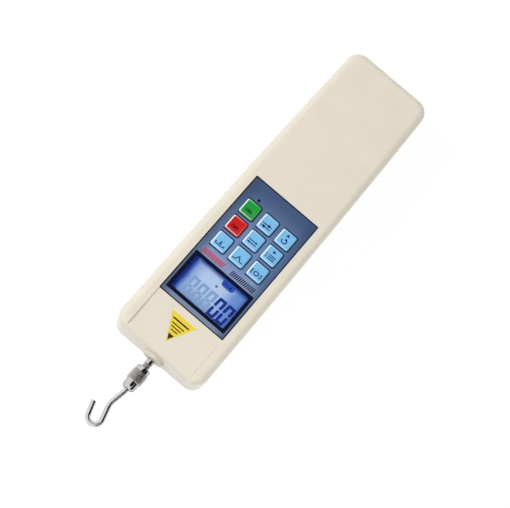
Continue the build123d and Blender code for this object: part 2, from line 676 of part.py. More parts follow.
def socket(x, nose, bore, bore_depth):
    """A board socket: its block, its nose through the far wall, its rim and its bore."""
    body = block(
        x, SOCKET_FACE_Y - SOCKET_BLOCK_LENGTH / 2, INTERFACE_BOARD_TOP,
        SOCKET_HEIGHT + SOCKET_BLOCK_ABOVE_AXIS, SOCKET_BLOCK_WIDTH, SOCKET_BLOCK_LENGTH,
    )
    body += along_y(x, SOCKET_HEIGHT, SOCKET_FACE_Y, FAR_END_Y, nose)
    rim = nose + 2 * SOCKET_RIM_WIDTH
    body += along_y(x, SOCKET_HEIGHT, FAR_END_Y, FAR_END_Y + SOCKET_RIM, rim)
    return body - along_y(
        x, SOCKET_HEIGHT, FAR_END_Y + SOCKET_RIM - bore_depth, FAR_END_Y + SOCKET_RIM, bore
    )


def charging_socket():
    """The round charging socket, with its centre pin."""
    body = socket(CHARGE_SOCKET_X, CHARGE_SOCKET_DIAMETER, CHARGE_BORE_DIAMETER, CHARGE_BORE_DEPTH)
    floor = FAR_END_Y + SOCKET_RIM - CHARGE_BORE_DEPTH
    tip = FAR_END_Y - CHARGE_PIN_INSET
    return body + along_y(CHARGE_SOCKET_X, SOCKET_HEIGHT, floor, tip, CHARGE_PIN_DIAMETER)


def interface_board():
    """The small board that carries the two sockets."""
    board = block(
        0, INTERFACE_BOARD_Y, INTERFACE_BOARD_BOTTOM, INTERFACE_BOARD_TOP, INTERFACE_BOARD_WIDTH,
        INTERFACE_BOARD_LENGTH,
    )
    return board - columns(
        INTERFACE_POST_PLACES, INTERFACE_BOARD_BOTTOM, INTERFACE_BOARD_TOP,
        BOARD_SCREW_DIAMETER + 2 * SCREW_CLEARANCE,
    )


def interface_screws():
    """Screws that hold the interface board down on its posts."""
    depth = INTERFACE_BOARD_THICKNESS + BOARD_SCREW_DEPTH - FIT_GAP
    return Compound([small_screw(x, y, 1, INTERFACE_BOARD_TOP, depth) for x, y in INTERFACE_POST_PLACES])


# ---------------------------------------------------------------- measuring train

BUSH_SLEEVE_END = HOOK_END_Y + WALL + BUSH_PAD_THICKNESS + NUT_THICKNESS + BUSH_TAIL


def guide_bush():
    """The round boss at the hook end that guides the shaft."""
    bore = SHAFT_DIAMETER / 2 + RUNNING_CLEARANCE
    flange = turned(0, SHAFT_HEIGHT, [
        (0, HOOK_END_Y - BUSH_PROUD), (BUSH_FLANGE_DIAMETER / 2, HOOK_END_Y - BUSH_PROUD),
        (BUSH_FLANGE_DIAMETER / 2, HOOK_END_Y), (0, HOOK_END_Y),
    ])
    flange = fillet(flange.edges().group_by(Axis.Y)[0], BUSH_EDGE_ROUND)
    bush = flange + along_y(0, SHAFT_HEIGHT, HOOK_END_Y, BUSH_SLEEVE_END, BUSH_SLEEVE_DIAMETER)
    return bush - along_y(0, SHAFT_HEIGHT, HOOK_END_Y - BUSH_PROUD, BUSH_SLEEVE_END, 2 * bore)


def guide_nut():
    """The nut that clamps the guide bush to the housing wall."""
    start = HOOK_END_Y + WALL + BUSH_PAD_THICKNESS
    return hex_along_y(
        0, SHAFT_HEIGHT, start, start + NUT_THICKNESS, NUT_ACROSS_FLATS, BUSH_SLEEVE_DIAMETER + 2 * FIT_GAP
    )


def measuring_shaft():
    """The plain shaft from the load cell out through the bush, threaded at its outer end."""
    inner_end = CELL_NEAR_Y + CELL_HOLE_DEPTH - SHAFT_TRAVEL - FIT_GAP
    shaft = along_y(0, SHAFT_HEIGHT, SHAFT_END_Y, inner_end, SHAFT_DIAMETER)
    return chamfer(shaft.edges().filter_by(GeomType.CIRCLE), SHAFT_CHAMFER)


def shaft_lock_nut():
    """The nut that locks the shaft into the load cell."""
    return hex_along_y(
        0, SHAFT_HEIGHT, CELL_NEAR_Y - LOCK_NUT_THICKNESS, CELL_NEAR_Y, LOCK_NUT_ACROSS_FLATS,
        SHAFT_DIAMETER + 2 * RUNNING_CLEARANCE,
    )


def load_cell():
    """The S-shaped beam: two cross slots and a waisted eye between them leave four thin bending webs."""
    middle = (CELL_NEAR_Y + CELL_FAR_Y) / 2
    profile = Pos(0, middle) * RectangleRounded(CELL_WIDTH, CELL_LENGTH, ANCHOR_EDGE)
    eye = Rectangle(CELL_EYE_SPACING, CELL_EYE_SLOT)
    for side in (-1, 1):
        eye += Pos(side * CELL_EYE_SPACING / 2, 0) * Circle(CELL_EYE_DIAMETER / 2)
    profile -= Pos(0, middle) * eye
    for side in (-1, 1):
        open_end = -side * CELL_WIDTH / 2
        closed_end = side * (CELL_WIDTH / 2 - CELL_SLOT_END_WEB)
        slot_middle = (open_end + closed_end) / 2
        height = middle + side * CELL_SLOT_OFFSET
        profile -= Pos(slot_middle, height) * Rectangle(abs(closed_end - open_end), CELL_SLOT_WIDTH)
        profile -= Pos(closed_end, height) * Circle(CELL_SLOT_RELIEF / 2)
    beam = extrude(Pos(0, 0, SHAFT_HEIGHT - CELL_THICKNESS / 2) * profile, CELL_THICKNESS)
    beam -= along_y(
        0, SHAFT_HEIGHT, CELL_NEAR_Y, CELL_NEAR_Y + CELL_HOLE_DEPTH, SHAFT_DIAMETER + 2 * RUNNING_CLEARANCE
    )
    return beam - along_y(
        0, SHAFT_HEIGHT, CELL_FAR_Y - CELL_HOLE_DEPTH, CELL_FAR_Y, CELL_BOLT_DIAMETER + 2 * SCREW_CLEARANCE
    )


def strain_gauges():
    """Thin foils on the four bending webs, inside the eye."""
    middle = (CELL_NEAR_Y + CELL_FAR_Y) / 2
    outer = CELL_EYE_DIAMETER / 2
    half_chord = outer * math.sin(math.radians(GAUGE_FOIL_ARC / 2))
    foils = []
    for side_x in (-1, 1):
        for side_y in (-1, 1):
            ring = Circle(outer) - Circle(outer - GAUGE_FOIL_THICKNESS)
            foil = ring & (Pos(0, side_y * outer / 2) * Rectangle(2 * half_chord, outer))
            place = Pos(side_x * CELL_EYE_SPACING / 2, middle, SHAFT_HEIGHT - GAUGE_FOIL_HEIGHT / 2)
            foils.append(extrude(place * foil, GAUGE_FOIL_HEIGHT))
    return Compound(foils)


def anchor_block():
    """The block that ties the load cell's far end to the rear cover."""
    middle = CELL_FAR_Y + ANCHOR_LENGTH / 2
    anchor = block(0, middle, WALL, SHAFT_HEIGHT + CELL_THICKNESS / 2, ANCHOR_WIDTH, ANCHOR_LENGTH)
    anchor = chamfer(anchor.edges().filter_by(Axis.Z), ANCHOR_EDGE)
    anchor -= along_y(0, SHAFT_HEIGHT, CELL_FAR_Y, ANCHOR_FAR_Y, CELL_BOLT_DIAMETER + 2 * SCREW_CLEARANCE)
    return anchor - [countersink(x, y, SCREW_CLEARANCE) for x, y in ANCHOR_SCREW_PLACES]


def anchor_screws():
    """Countersunk screws from the back of the cover into the anchor block."""
    return Compound([countersink(x, y, 0) for x, y in ANCHOR_SCREW_PLACES])


def load_cell_bolt():
    """The socket-head bolt through the anchor block into the load cell."""
    tip = CELL_FAR_Y - CELL_HOLE_DEPTH + CELL_BOLT_END_GAP
    head_end = ANCHOR_FAR_Y + CELL_BOLT_HEAD_HEIGHT
    bolt = along_y(0, SHAFT_HEIGHT, ANCHOR_FAR_Y, head_end, CELL_BOLT_HEAD_DIAMETER)
    bolt += along_y(0, SHAFT_HEIGHT, tip, ANCHOR_FAR_Y, CELL_BOLT_DIAMETER)
    plane = Plane(origin=(0, head_end - CELL_BOLT_SOCKET_DEPTH, SHAFT_HEIGHT), z_dir=(0, 1, 0))
    hexagon = RegularPolygon(CELL_BOLT_SOCKET / 2, 6, major_radius=False)
    return bolt - extrude(plane * hexagon, CELL_BOLT_SOCKET_DEPTH)


# ---------------------------------------------------------------- coupler and hook

SHAFT_END_Y = HOOK_END_Y - COUPLER_START - THREAD_PITCH * COUPLER_TURNS
COUPLER_TOP_Y = HOOK_END_Y - COUPLER_START
COUPLER_GRIP_Y = COUPLER_TOP_Y - COUPLER_FRONT_BAND_LENGTH
COUPLER_REAR_Y = COUPLER_GRIP_Y - COUPLER_GRIP_LENGTH
COUPLER_NOSE_Y = COUPLER_REAR_Y - COUPLER_REAR_BAND_LENGTH
COUPLER_END_Y = COUPLER_NOSE_Y - COUPLER_NOSE_LENGTH
COUPLER_SHOULDER_Y = COUPLER_END_Y + COUPLER_SHOULDER_THICKNESS
COUPLER_BORE_RADIUS = SHAFT_DIAMETER / 2 + COUPLER_THREAD_CLEARANCE
HOOK_BORE_RADIUS = HOOK_WIRE_DIAMETER / 2 + HOOK_WIRE_CLEARANCE


def coupler():
    """The knurled coupler: polished bands either side of its grip, and a rounded nose."""
    front = COUPLER_FRONT_BAND_DIAMETER / 2
    grip = COUPLER_GRIP_DIAMETER / 2
    rear = COUPLER_REAR_BAND_DIAMETER / 2
    nose = COUPLER_NOSE_DIAMETER / 2
    with BuildPart() as turned_part:
        with BuildSketch(Plane(origin=(0, 0, SHAFT_HEIGHT))):
            with BuildLine():
                outline = Polyline(
                    (HOOK_BORE_RADIUS, COUPLER_END_Y), (HOOK_BORE_RADIUS, COUPLER_SHOULDER_Y),
                    (COUPLER_BORE_RADIUS, COUPLER_SHOULDER_Y), (COUPLER_BORE_RADIUS, COUPLER_TOP_Y),
                    (front - COUPLER_EDGE, COUPLER_TOP_Y), (front, COUPLER_TOP_Y - COUPLER_EDGE),
                    (front, COUPLER_GRIP_Y), (grip - COUPLER_EDGE, COUPLER_GRIP_Y),
                    (grip, COUPLER_GRIP_Y - COUPLER_EDGE), (grip, COUPLER_REAR_Y + COUPLER_EDGE),
                    (grip - COUPLER_EDGE, COUPLER_REAR_Y), (rear, COUPLER_REAR_Y), (rear, COUPLER_NOSE_Y),
                )
                curve = EllipticalCenterArc(
                    (nose, COUPLER_NOSE_Y), rear - nose, COUPLER_NOSE_LENGTH, start_angle=270, arc_size=90
                )
                Line(curve @ 0, outline @ 0)
            make_face()
        revolve(axis=Axis((0, 0, SHAFT_HEIGHT), (0, 1, 0)))
    return turned_part.part


def swivel_washer():
    """The thin washer between the hook's head and the coupler's shoulder."""
    start = COUPLER_SHOULDER_Y + HOOK_SEAT_GAP
    ring = along_y(
        0, SHAFT_HEIGHT, start, start + WASHER_THICKNESS, 2 * (COUPLER_BORE_RADIUS - WASHER_CLEARANCE)
    )
    return ring - along_y(0, SHAFT_HEIGHT, start, start + WASHER_THICKNESS, 2 * HOOK_BORE_RADIUS)


def hook():
    """The bent wire hook, with the head that holds it in the coupler."""
    head_start = COUPLER_SHOULDER_Y + WASHER_THICKNESS + 2 * HOOK_SEAT_GAP
    with BuildPart() as wire:
        with BuildLine(Plane(origin=(0, 0, SHAFT_HEIGHT))) as path:
            shank = FilletPolyline(
                (0, head_start), (0, HOOK_END_Y - HOOK_NECK_END),
                (HOOK_WAIST_X, HOOK_END_Y - HOOK_WAIST_FROM_HOOK_END),
                (HOOK_HEEL_X, HOOK_END_Y - HOOK_HEEL_FROM_HOOK_END),
                radius=[HOOK_NECK_BEND, HOOK_WAIST_BEND],
            )
            bowl = JernArc(shank @ 1, shank % 1, HOOK_BEND_RADIUS, -HOOK_BEND_ANGLE)
            Line(bowl @ 1, bowl @ 1 + (bowl % 1) * HOOK_TIP_LENGTH)
        with BuildSketch(Plane(origin=path.line @ 0, z_dir=path.line % 0)):
            Circle(HOOK_WIRE_DIAMETER / 2)
        sweep()
    head = along_y(0, SHAFT_HEIGHT, head_start, head_start + HOOK_HEAD_THICKNESS, HOOK_HEAD_DIAMETER)
    return wire.part + head


# ---------------------------------------------------------------- batteries

def battery_places():
    """The centre line of each battery cell, as x and z."""
    first_z = BATTERY_BOTTOM + CELL_CAN_DIAMETER / 2
    return [
        ((column_number - (BATTERY_COLUMNS - 1) / 2) * BATTERY_SPACING, first_z + row * BATTERY_SPACING)
        for row in range(BATTERY_ROWS) for column_number in range(BATTERY_COLUMNS)
    ]


def battery_cells():
    """Rechargeable cells, each a can with its raised cap."""
    cells = []
    for x, z in battery_places():
        can_end = BATTERY_NEAR_Y + CELL_CAN_LENGTH
        can = along_y(x, z, BATTERY_NEAR_Y, can_end, CELL_CAN_DIAMETER)
        cells.append(can + along_y(x, z, can_end, BATTERY_FAR_Y, CELL_CAP_DIAMETER))
    return Compound(cells)


def battery_sleeve():
    """The shrunk sleeve that holds the cells together."""
    heights = [z for _, z in battery_places()]
    middle_z = (min(heights) + max(heights)) / 2
    inner_width = 2 * (SLEEVE_HALF_WIDTH - SLEEVE_THICKNESS)
    inner_height = max(heights) - min(heights) + CELL_CAN_DIAMETER
    corner = CELL_CAN_DIAMETER / 2
    outer = RectangleRounded(
        inner_width + 2 * SLEEVE_THICKNESS, inner_height + 2 * SLEEVE_THICKNESS, corner + SLEEVE_THICKNESS
    )
    ring = outer - RectangleRounded(inner_width, inner_height, corner)
    plane = Plane(origin=(0, BATTERY_NEAR_Y, middle_z), x_dir=(1, 0, 0), z_dir=(0, 1, 0))
    return extrude(plane * ring, CELL_CAN_LENGTH)


def battery_tray():
    """The open tray that the battery pack stands in, on the rear cover's floor."""
    inner_width = 2 * (SLEEVE_HALF_WIDTH + TRAY_GAP)
    inner_length = CELL_CAN_LENGTH + CELL_CAP_HEIGHT + 2 * TRAY_GAP
    middle = (BATTERY_NEAR_Y + BATTERY_FAR_Y) / 2
    outer_width = inner_width + 2 * TRAY_WALL
    outer_length = inner_length + 2 * TRAY_WALL
    top = WALL + TRAY_HEIGHT
    tray = block(0, middle, WALL, top, outer_width, outer_length, TRAY_WALL)
    return tray - block(0, middle, WALL + TRAY_WALL, top, inner_width, inner_length)


# ---------------------------------------------------------------- write every node

NODES = {
    "front_housing": front_housing,
    "rear_cover": rear_cover,
    "housing_screws": housing_screws,
    "front_panel": front_panel,
    "display_bezel": display_bezel,
    "display_window": display_window,
    "display_glass": display_glass,
    "display_backlight": display_backlight,
    "contact_strips": contact_strips,
    "status_lamp": status_lamp,
    "key_switches": switches,
    "main_board": main_board,
    "board_screws": board_screws,
    "board_chips": chips,
    "buzzer": buzzer,
    "guide_bush": guide_bush,
    "guide_nut": guide_nut,
    "measuring_shaft": measuring_shaft,
    "shaft_lock_nut": shaft_lock_nut,
    "load_cell": load_cell,
    "strain_gauges": strain_gauges,
    "anchor_block": anchor_block,
    "anchor_screws": anchor_screws,
    "load_cell_bolt": load_cell_bolt,
    "coupler": coupler,
    "swivel_washer": swivel_washer,
    "hook": hook,
    "battery_cells": battery_cells,
    "battery_sleeve": battery_sleeve,
    "battery_tray": battery_tray,
    "interface_board": interface_board,
    "interface_screws": interface_screws,
    "charging_socket": charging_socket,
}

for node, make in NODES.items():
    save(node, make())
save("data_socket", socket(DATA_SOCKET_X, DATA_SOCKET_DIAMETER, DATA_BORE_DIAMETER, DATA_BORE_DEPTH))
for node, (key_x, key_y) in KEY_PLACES.items():
    save(node, key(key_x, key_y))
    save(node.replace("key_", "plunger_"), plunger(key_x, key_y))
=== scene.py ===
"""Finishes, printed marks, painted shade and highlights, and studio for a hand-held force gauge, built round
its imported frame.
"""

import json
import math

import bmesh
import bpy
from bpy.props import FloatProperty, FloatVectorProperty, IntProperty, PointerProperty
from mathutils import Matrix, Vector

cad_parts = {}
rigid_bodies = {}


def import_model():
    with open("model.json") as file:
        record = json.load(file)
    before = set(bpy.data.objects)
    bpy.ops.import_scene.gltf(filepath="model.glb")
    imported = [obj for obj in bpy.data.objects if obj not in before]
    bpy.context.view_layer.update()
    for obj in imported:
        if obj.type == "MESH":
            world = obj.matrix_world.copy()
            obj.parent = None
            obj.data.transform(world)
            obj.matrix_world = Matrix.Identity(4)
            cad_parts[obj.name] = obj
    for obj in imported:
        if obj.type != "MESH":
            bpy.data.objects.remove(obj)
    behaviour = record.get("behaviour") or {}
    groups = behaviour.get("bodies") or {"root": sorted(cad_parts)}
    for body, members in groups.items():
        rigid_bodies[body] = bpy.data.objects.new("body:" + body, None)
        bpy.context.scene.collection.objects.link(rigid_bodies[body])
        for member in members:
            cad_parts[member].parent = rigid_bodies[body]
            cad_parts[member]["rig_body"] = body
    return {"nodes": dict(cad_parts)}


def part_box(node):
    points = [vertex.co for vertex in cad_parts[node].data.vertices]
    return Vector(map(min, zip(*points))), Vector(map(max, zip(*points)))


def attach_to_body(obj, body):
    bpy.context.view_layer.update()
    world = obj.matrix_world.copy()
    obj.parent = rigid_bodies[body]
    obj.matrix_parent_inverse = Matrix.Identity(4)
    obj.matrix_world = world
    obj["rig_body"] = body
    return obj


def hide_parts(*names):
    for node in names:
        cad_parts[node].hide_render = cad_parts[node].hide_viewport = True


bl_info = {
    "name": "Force Gauge Finish",
    "version": (1, 0, 0),
    "blender": (4, 5, 0),
    "location": "3D View > Sidebar > Gauge",
    "description": "Dresses the packed force gauge: shells, panel, keys, display, shaft, coupler and hook",
    "category": "Object",
}

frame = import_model()
NODES = frame["nodes"]
MM = 0.001
# Lengths in capitals are in millimetres, apart from the studio's, which are in metres as the meshes are.
WELD = 0.001
SHAFT_LOW, SHAFT_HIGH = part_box("measuring_shaft")
SHAFT_AXIS = Vector((0, 0, (SHAFT_LOW.z + SHAFT_HIGH.z) / 2))
HOUSING_LOW, HOUSING_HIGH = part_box("front_housing")
HOOK_END = HOUSING_LOW.y
KEY_NAMES = sorted(node for node in NODES if node.startswith("key_") and node != "key_switches")


# ---------------------------------------------------------------- sizes and colours

def colour(red, green, blue):
    """Screen values from 0 to 255, turned into the linear values that shaders use."""
    def linear(value):
        share = value / 255
        return share / 12.92 if share <= 0.04045 else ((share + 0.055) / 1.055) ** 2.4
    return (linear(red), linear(green), linear(blue))


def length(label, description, millimetres):
    """A length property whose default is given in millimetres."""
    return FloatProperty(
        name=label, description=description, default=millimetres * MM, unit="LENGTH", precision=5
    )


def tint(label, description, red, green, blue):
    """A colour property whose default is given as screen values."""
    return FloatVectorProperty(
        name=label, description=description, default=colour(red, green, blue), subtype="COLOR",
        size=3, min=0, max=1,
    )


class GaugeSizes(bpy.types.PropertyGroup):
    """Sizes of the finer forms, the printed marks and the painted shade round the panel and the keys"""
    mark_thickness: length("Mark thickness", "How far printed marks stand off their surface", 0.03)
    # Painted shade: the dark line round the panel stands for the gap and the recess walls' shadow round the
    # sheet.
    border_line: length("Border line", "Width of the dark line round the panel", 0.65)
    # Painted shadow: the dark line round three sides of each key stands for its slot and the shadow that it
    # casts.
    key_frame_line: length("Key frame line", "Width of the dark frame round each key", 0.55)
    legend_height: length("Legend height", "Height of the capitals on the on and off keys", 1.95)
    legend_drop: length("Legend drop", "How far legends sit below a key's centre", 1.5)
    icon_line: length("Icon line", "Line width of the pictograms on the keys", 0.55)
    arrow_size: length("Arrow size", "Size of the two small arrows on the right-hand keys", 2.7)
    bar_height: length("Bar height", "Height of the slanted bars between the display and the keys", 3.5)
    digit_width: length("Digit width", "Distance between a digit's upright segments", 3.9)
    digit_height: length("Digit height", "Distance between a digit's top and foot segments", 11.7)
    digit_pitch: length("Digit pitch", "Distance from one display digit to the next", 6.8)
    digit_line: length("Digit line", "Width of a display digit's segments", 1.85)
    pointer_width: length("Pointer width", "Width of the yellow pull pointer", 18.3)
    pointer_length: length("Pointer length", "Length of the yellow pull pointer", 17.0)
    knurl_depth: length("Knurl depth", "Height of the knurl's diamonds", 0.2)
    knurl_rows: IntProperty(name="Knurl rows", description="Rows of diamonds along the grip", default=16)
    knurl_round: IntProperty(name="Knurl round", description="Diamonds round the grip", default=36)
    thread_pitch: length("Thread pitch", "Distance between the shaft's thread turns", 0.8)
    thread_depth: length("Thread depth", "Depth of the shaft's thread", 0.42)
    recess_width: length("Recess width", "Width of the cross recess in the housing screws", 3.0)


class GaugeColours(bpy.types.PropertyGroup):
    """Colours of the painted, moulded and printed surfaces"""
    housing: tint("Housing", "Cream paint of both shells", 228, 220, 203)
    panel: tint("Panel", "Blue-grey sheet at its far end", 66, 86, 122)
    panel_middle: tint("Panel middle", "Blue-grey sheet round the keys", 107, 132, 173)
    panel_band: tint("Panel band", "Blue-grey sheet behind the two rows of bars", 128, 150, 189)
    panel_foot: tint("Panel foot", "Blue-grey sheet at its hook end", 118, 133, 162)
    blue_key: tint("Blue keys", "Caps of the seven function keys", 122, 190, 233)
    green_key: tint("Green key", "Cap of the on key", 14, 155, 54)
    red_key: tint("Red key", "Cap of the off key", 204, 14, 12)
    legend: tint("Legends", "Print on the blue keys", 24, 52, 120)
    display_pale: tint("Display", "Lit upper middle of the display", 173, 195, 226)
    display_middle: tint("Display middle", "Lower and outer parts of the display", 100, 138, 202)
    display_deep: tint("Display edge", "Lit edges of the display", 10, 44, 150)
    digit: tint("Digits", "Dark segments of the display", 16, 42, 138)
    ghost: tint("Ghost digits", "Unlit segments of the display", 136, 168, 211)
    pointer: tint("Pointer", "Pull pointer on the channel floor", 232, 208, 62)
    red_print: tint("Red print", "Red bars on the panel", 196, 34, 46)
    black_print: tint("Black print", "Black bars on the panel", 26, 28, 40)
    board: tint("Boards", "Circuit boards", 30, 110, 62)
    wrap: tint("Battery wrap", "Shrunk sleeve on the battery cells", 40, 86, 160)


def sizes():
    """The scene's own sizes."""
    return bpy.context.scene.gauge_sizes


def colours():
    """The scene's own colours."""
    return bpy.context.scene.gauge_colours


# ---------------------------------------------------------------- mesh helpers

NORMAL_WEIGHT = 100
NODE_SMOOTH_ANGLE = 32
SOLID_SMOOTH_ANGLE = 28
SHARPEST_MITRE = 0.5
TURNED_STEPS = 96
LAST_RING_ANGLE = 345


def linked(name, data, look=None):
    """A new object in the scene that holds a mesh, lamp or camera and, where named, a finish."""
    piece = bpy.data.objects.new(name, data)
    bpy.context.scene.collection.objects.link(piece)
    if look:
        data.materials.clear()
        data.materials.append(finish(look))
    return piece


def attach(piece, node, replaces=False):
    """Let a piece ride on a node's body, and stand in for the node where asked."""
    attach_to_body(piece, NODES[node]["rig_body"])
    if replaces:
        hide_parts(node)


def discard(*pieces):
    """Remove helper objects that have done their work."""
    for piece in pieces:
        bpy.data.objects.remove(piece)


def smooth_by_angle(form, degrees):
    """Shade a bmesh smooth, apart from edges that turn by more than an angle."""
    for face in form.faces:
        face.smooth = True
    for edge in form.edges:
        edge.smooth = edge.calc_face_angle(math.pi) < math.radians(degrees)


def solid(name, form, look=None, smooth_angle=None):
    """A new object with the skin that a bmesh holds: faces outward, smooth where an angle is given."""
    bmesh.ops.recalc_face_normals(form, faces=form.faces)
    if smooth_angle:
        form.normal_update()
        smooth_by_angle(form, smooth_angle)
    mesh = bpy.data.meshes.new(name)
    form.to_mesh(mesh)
    form.free()
    return linked(name, mesh, look)


def settle(piece):
    """Replace a piece's mesh by what its modifiers make of it, and remove them."""
    bpy.context.view_layer.update()
    evaluated = piece.evaluated_get(bpy.context.evaluated_depsgraph_get())
    finished = bpy.data.meshes.new_from_object(evaluated)
    piece.modifiers.clear()
    piece.data = finished


def weigh_normals(piece):
    """Keep broad flats flat beside the rounded edges, by weighing normals with face area."""
    modifier = piece.modifiers.new("flats", "WEIGHTED_NORMAL")
    modifier.keep_sharp = True
    modifier.weight = NORMAL_WEIGHT
    settle(piece)


def smoothed(node, look):
    """A welded, smooth-shaded copy of a node's mesh, in a finish."""
    mesh = NODES[node].data.copy()
    form = bmesh.new()
    form.from_mesh(mesh)
    bmesh.ops.remove_doubles(form, verts=form.verts, dist=WELD * MM)
    bmesh.ops.dissolve_degenerate(form, edges=form.edges, dist=WELD * MM)
    smooth_by_angle(form, NODE_SMOOTH_ANGLE)
    form.to_mesh(mesh)
    form.free()
    piece = linked(f"{node}_finish", mesh, look)
    weigh_normals(piece)
    return piece


def dressed(node, look):
    """Stand a smoothed copy in for a node, in the finish of the given name."""
    attach(smoothed(node, look), node, replaces=True)


def join_rings(form, rings):
    """Skin rings of vertices, one after another, with a band of quads."""
    for ring, following in zip(rings, rings[1:]):
        for side in range(len(ring)):
            ahead = (side + 1) % len(ring)
            form.faces.new((ring[side], ring[ahead], following[ahead], following[side]))


def cap_rings(form, rings):
    """Close the first and the last ring with a face."""
    form.faces.new(rings[0])
    form.faces.new(rings[-1])


def turned(name, profile, look):
    """A solid turned about the shaft's axis, from (radius, y) points in millimetres that form a loop."""
    form = bmesh.new()
    rings = []
    for step in range(TURNED_STEPS):
        angle = 2 * math.pi * step / TURNED_STEPS
        across = Vector((math.cos(angle), 0, math.sin(angle))) * MM
        rings.append([
            form.verts.new(SHAFT_AXIS + across * radius + Vector((0, y * MM, 0))) for radius, y in profile
        ])
    join_rings(form, rings + rings[:1])
    return solid(name, form, look, SOLID_SMOOTH_ANGLE)


def extrude(form, face, rise):
    """Pull a copy of a face straight up or down, with walls between, and return the copy's vertices."""
    moved = bmesh.ops.extrude_face_region(form, geom=[face])
    verts = [item for item in moved["geom"] if isinstance(item, bmesh.types.BMVert)]
    bmesh.ops.translate(form, verts=verts, vec=(0, 0, rise))
    return verts


def prisms(name, outlines, top, thickness, look):
    """Thin upright prisms with the given outlines, in millimetres, ending at a height in metres."""
    form = bmesh.new()
    for outline in outlines:
        verts = [form.verts.new((x * MM, y * MM, top)) for x, y in outline]
        extrude(form, form.faces.new(verts), -thickness)
    return solid(name, form, look)


def stroke(points, width, closed=False):
    """The outline of a line of even width through points, as one polygon or, where closed, as quads."""
    half = width / 2
    points = [Vector(point) for point in points]
    count = len(points)
    left, right = [], []
    for index, point in enumerate(points):
        before = points[index - 1] if index or closed else point
        after = points[(index + 1) % count] if index < count - 1 or closed else point
        inward = (point - before).normalized() if point != before else (after - point).normalized()
        outward = (after - point).normalized() if after != point else inward
        bisector = (inward + outward).normalized()
        normal = Vector((-bisector.y, bisector.x))
        spread = half / max(SHARPEST_MITRE, normal.dot(Vector((-inward.y, inward.x))))
        left.append(point + normal * spread)
        right.append(point - normal * spread)
    if not closed:
        return [[tuple(p) for p in left + right[::-1]]]
    return [
        [tuple(left[i - 1]), tuple(left[i]), tuple(right[i]), tuple(right[i - 1])] for i in range(count)
    ]


def on_circle(centre, radius, degrees):
    """The point of a circle at an angle."""
    angle = math.radians(degrees)
    return (centre[0] + radius * math.cos(angle), centre[1] + radius * math.sin(angle))


def arc(centre, radius, start, end, steps=14):
    """Points along a round arc, with its angles in degrees."""
    return [on_circle(centre, radius, start + (end - start) * step / steps) for step in range(steps + 1)]


def ring_of(centre, radius, steps):
    """Points round a full turn, from nought to the last angle before it closes."""
    return arc(centre, radius, 0, LAST_RING_ANGLE, steps)


def rectangle(left, near, right, far):
    """The four corners of a rectangle that lies along the axes."""
    return [(left, near), (right, near), (right, far), (left, far)]


def middle_of(node):
    """The x and y of the centre of a node's box."""
    low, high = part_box(node)
    return (low.x + high.x) / 2, (low.y + high.y) / 2


# ---------------------------------------------------------------- node helpers

KNURL_TIP = 0.22
THREAD_SHARE = 0.48
THREAD_STEPS = 48
SEGMENT_FORMS = ("Level", "Upright", "Middle")


class Wiring:
    """Short ways to add nodes to a group and to feed their sockets."""

    def __init__(self, group):
        self.group = group

    def add(self, kind, sockets=None, **settings):
        """A node with its settings made and its input sockets fed by name or number."""
        node = self.group.nodes.new(kind)
        for key, value in settings.items():
            setattr(node, key, value)
        for key, value in (sockets or {}).items():
            self.feed(node.inputs[key], value)
        return node

    def feed(self, socket, value):
        """Link a socket to another one, or give it a plain value; a colour needs no fourth value."""
        if isinstance(value, bpy.types.NodeSocket):
            self.group.links.new(value, socket)
        elif socket.type == "RGBA":
            socket.default_value = (*value, 1)
        else:
            socket.default_value = value

    def maths(self, operation, *values):
        """The result of one maths node."""
        node = self.add("ShaderNodeMath", operation=operation)
        for socket, value in zip(node.inputs, values):
            self.feed(socket, value)
        return node.outputs[0]


class Tree(Wiring):
    """A Geometry Nodes tree under construction, with named inputs."""

    def __init__(self, name, inputs):
        super().__init__(bpy.data.node_groups.new(name, "GeometryNodeTree"))
        interface = self.group.interface
        interface.new_socket("Geometry", in_out="OUTPUT", socket_type="NodeSocketGeometry")
        interface.new_socket("Geometry", in_out="INPUT", socket_type="NodeSocketGeometry")
        self.names = {}
        for label, kind in inputs.items():
            item = interface.new_socket(label, in_out="INPUT", socket_type=kind)
            self.names[label] = item.identifier
        self.start = self.group.nodes.new("NodeGroupInput")

    def given(self, label):
        """The value of one of the tree's inputs."""
        return self.start.outputs[label]

    def vector(self, x, y, z):
        """A vector from three values."""
        return self.add("ShaderNodeCombineXYZ", {"X": x, "Y": y, "Z": z}).outputs[0]

    def slanted(self, geometry, slope, baseline=0.0):
        """A geometry that leans along X with its distance in Y from a baseline."""
        position = self.add("ShaderNodeSeparateXYZ", {0: self.add("GeometryNodeInputPosition").outputs[0]})
        above = self.maths("SUBTRACT", position.outputs["Y"], baseline)
        lean = self.vector(self.maths("MULTIPLY", above, slope), 0.0, 0.0)
        return self.add("GeometryNodeSetPosition", {"Geometry": geometry, "Offset": lean}).outputs[0]

    def finish(self, geometry):
        """Realize what was instanced, give it the material input and end the tree."""
        real = self.add("GeometryNodeRealizeInstances", {"Geometry": geometry}).outputs[0]
        tinted = self.add("GeometryNodeSetMaterial", {"Geometry": real, "Material": self.given("Material")})
        self.add("NodeGroupOutput", {0: tinted.outputs[0]})
        return self


def grown(name, tree, values, seed=None):
    """The plain mesh that a tree makes from its inputs and a seed mesh, as a new object at the origin."""
    piece = linked(name, seed or bpy.data.meshes.new(f"{name}_seed"))
    modifier = piece.modifiers.new("growth", "NODES")
    modifier.node_group = tree.group
    for label, value in values.items():
        modifier[tree.names[label]] = value
    settle(piece)
    return piece


def points_at(name, places):
    """A mesh of loose points, for a tree to start from."""
    seed = bpy.data.meshes.new(name)
    seed.from_pydata(places, [], [])
    return seed


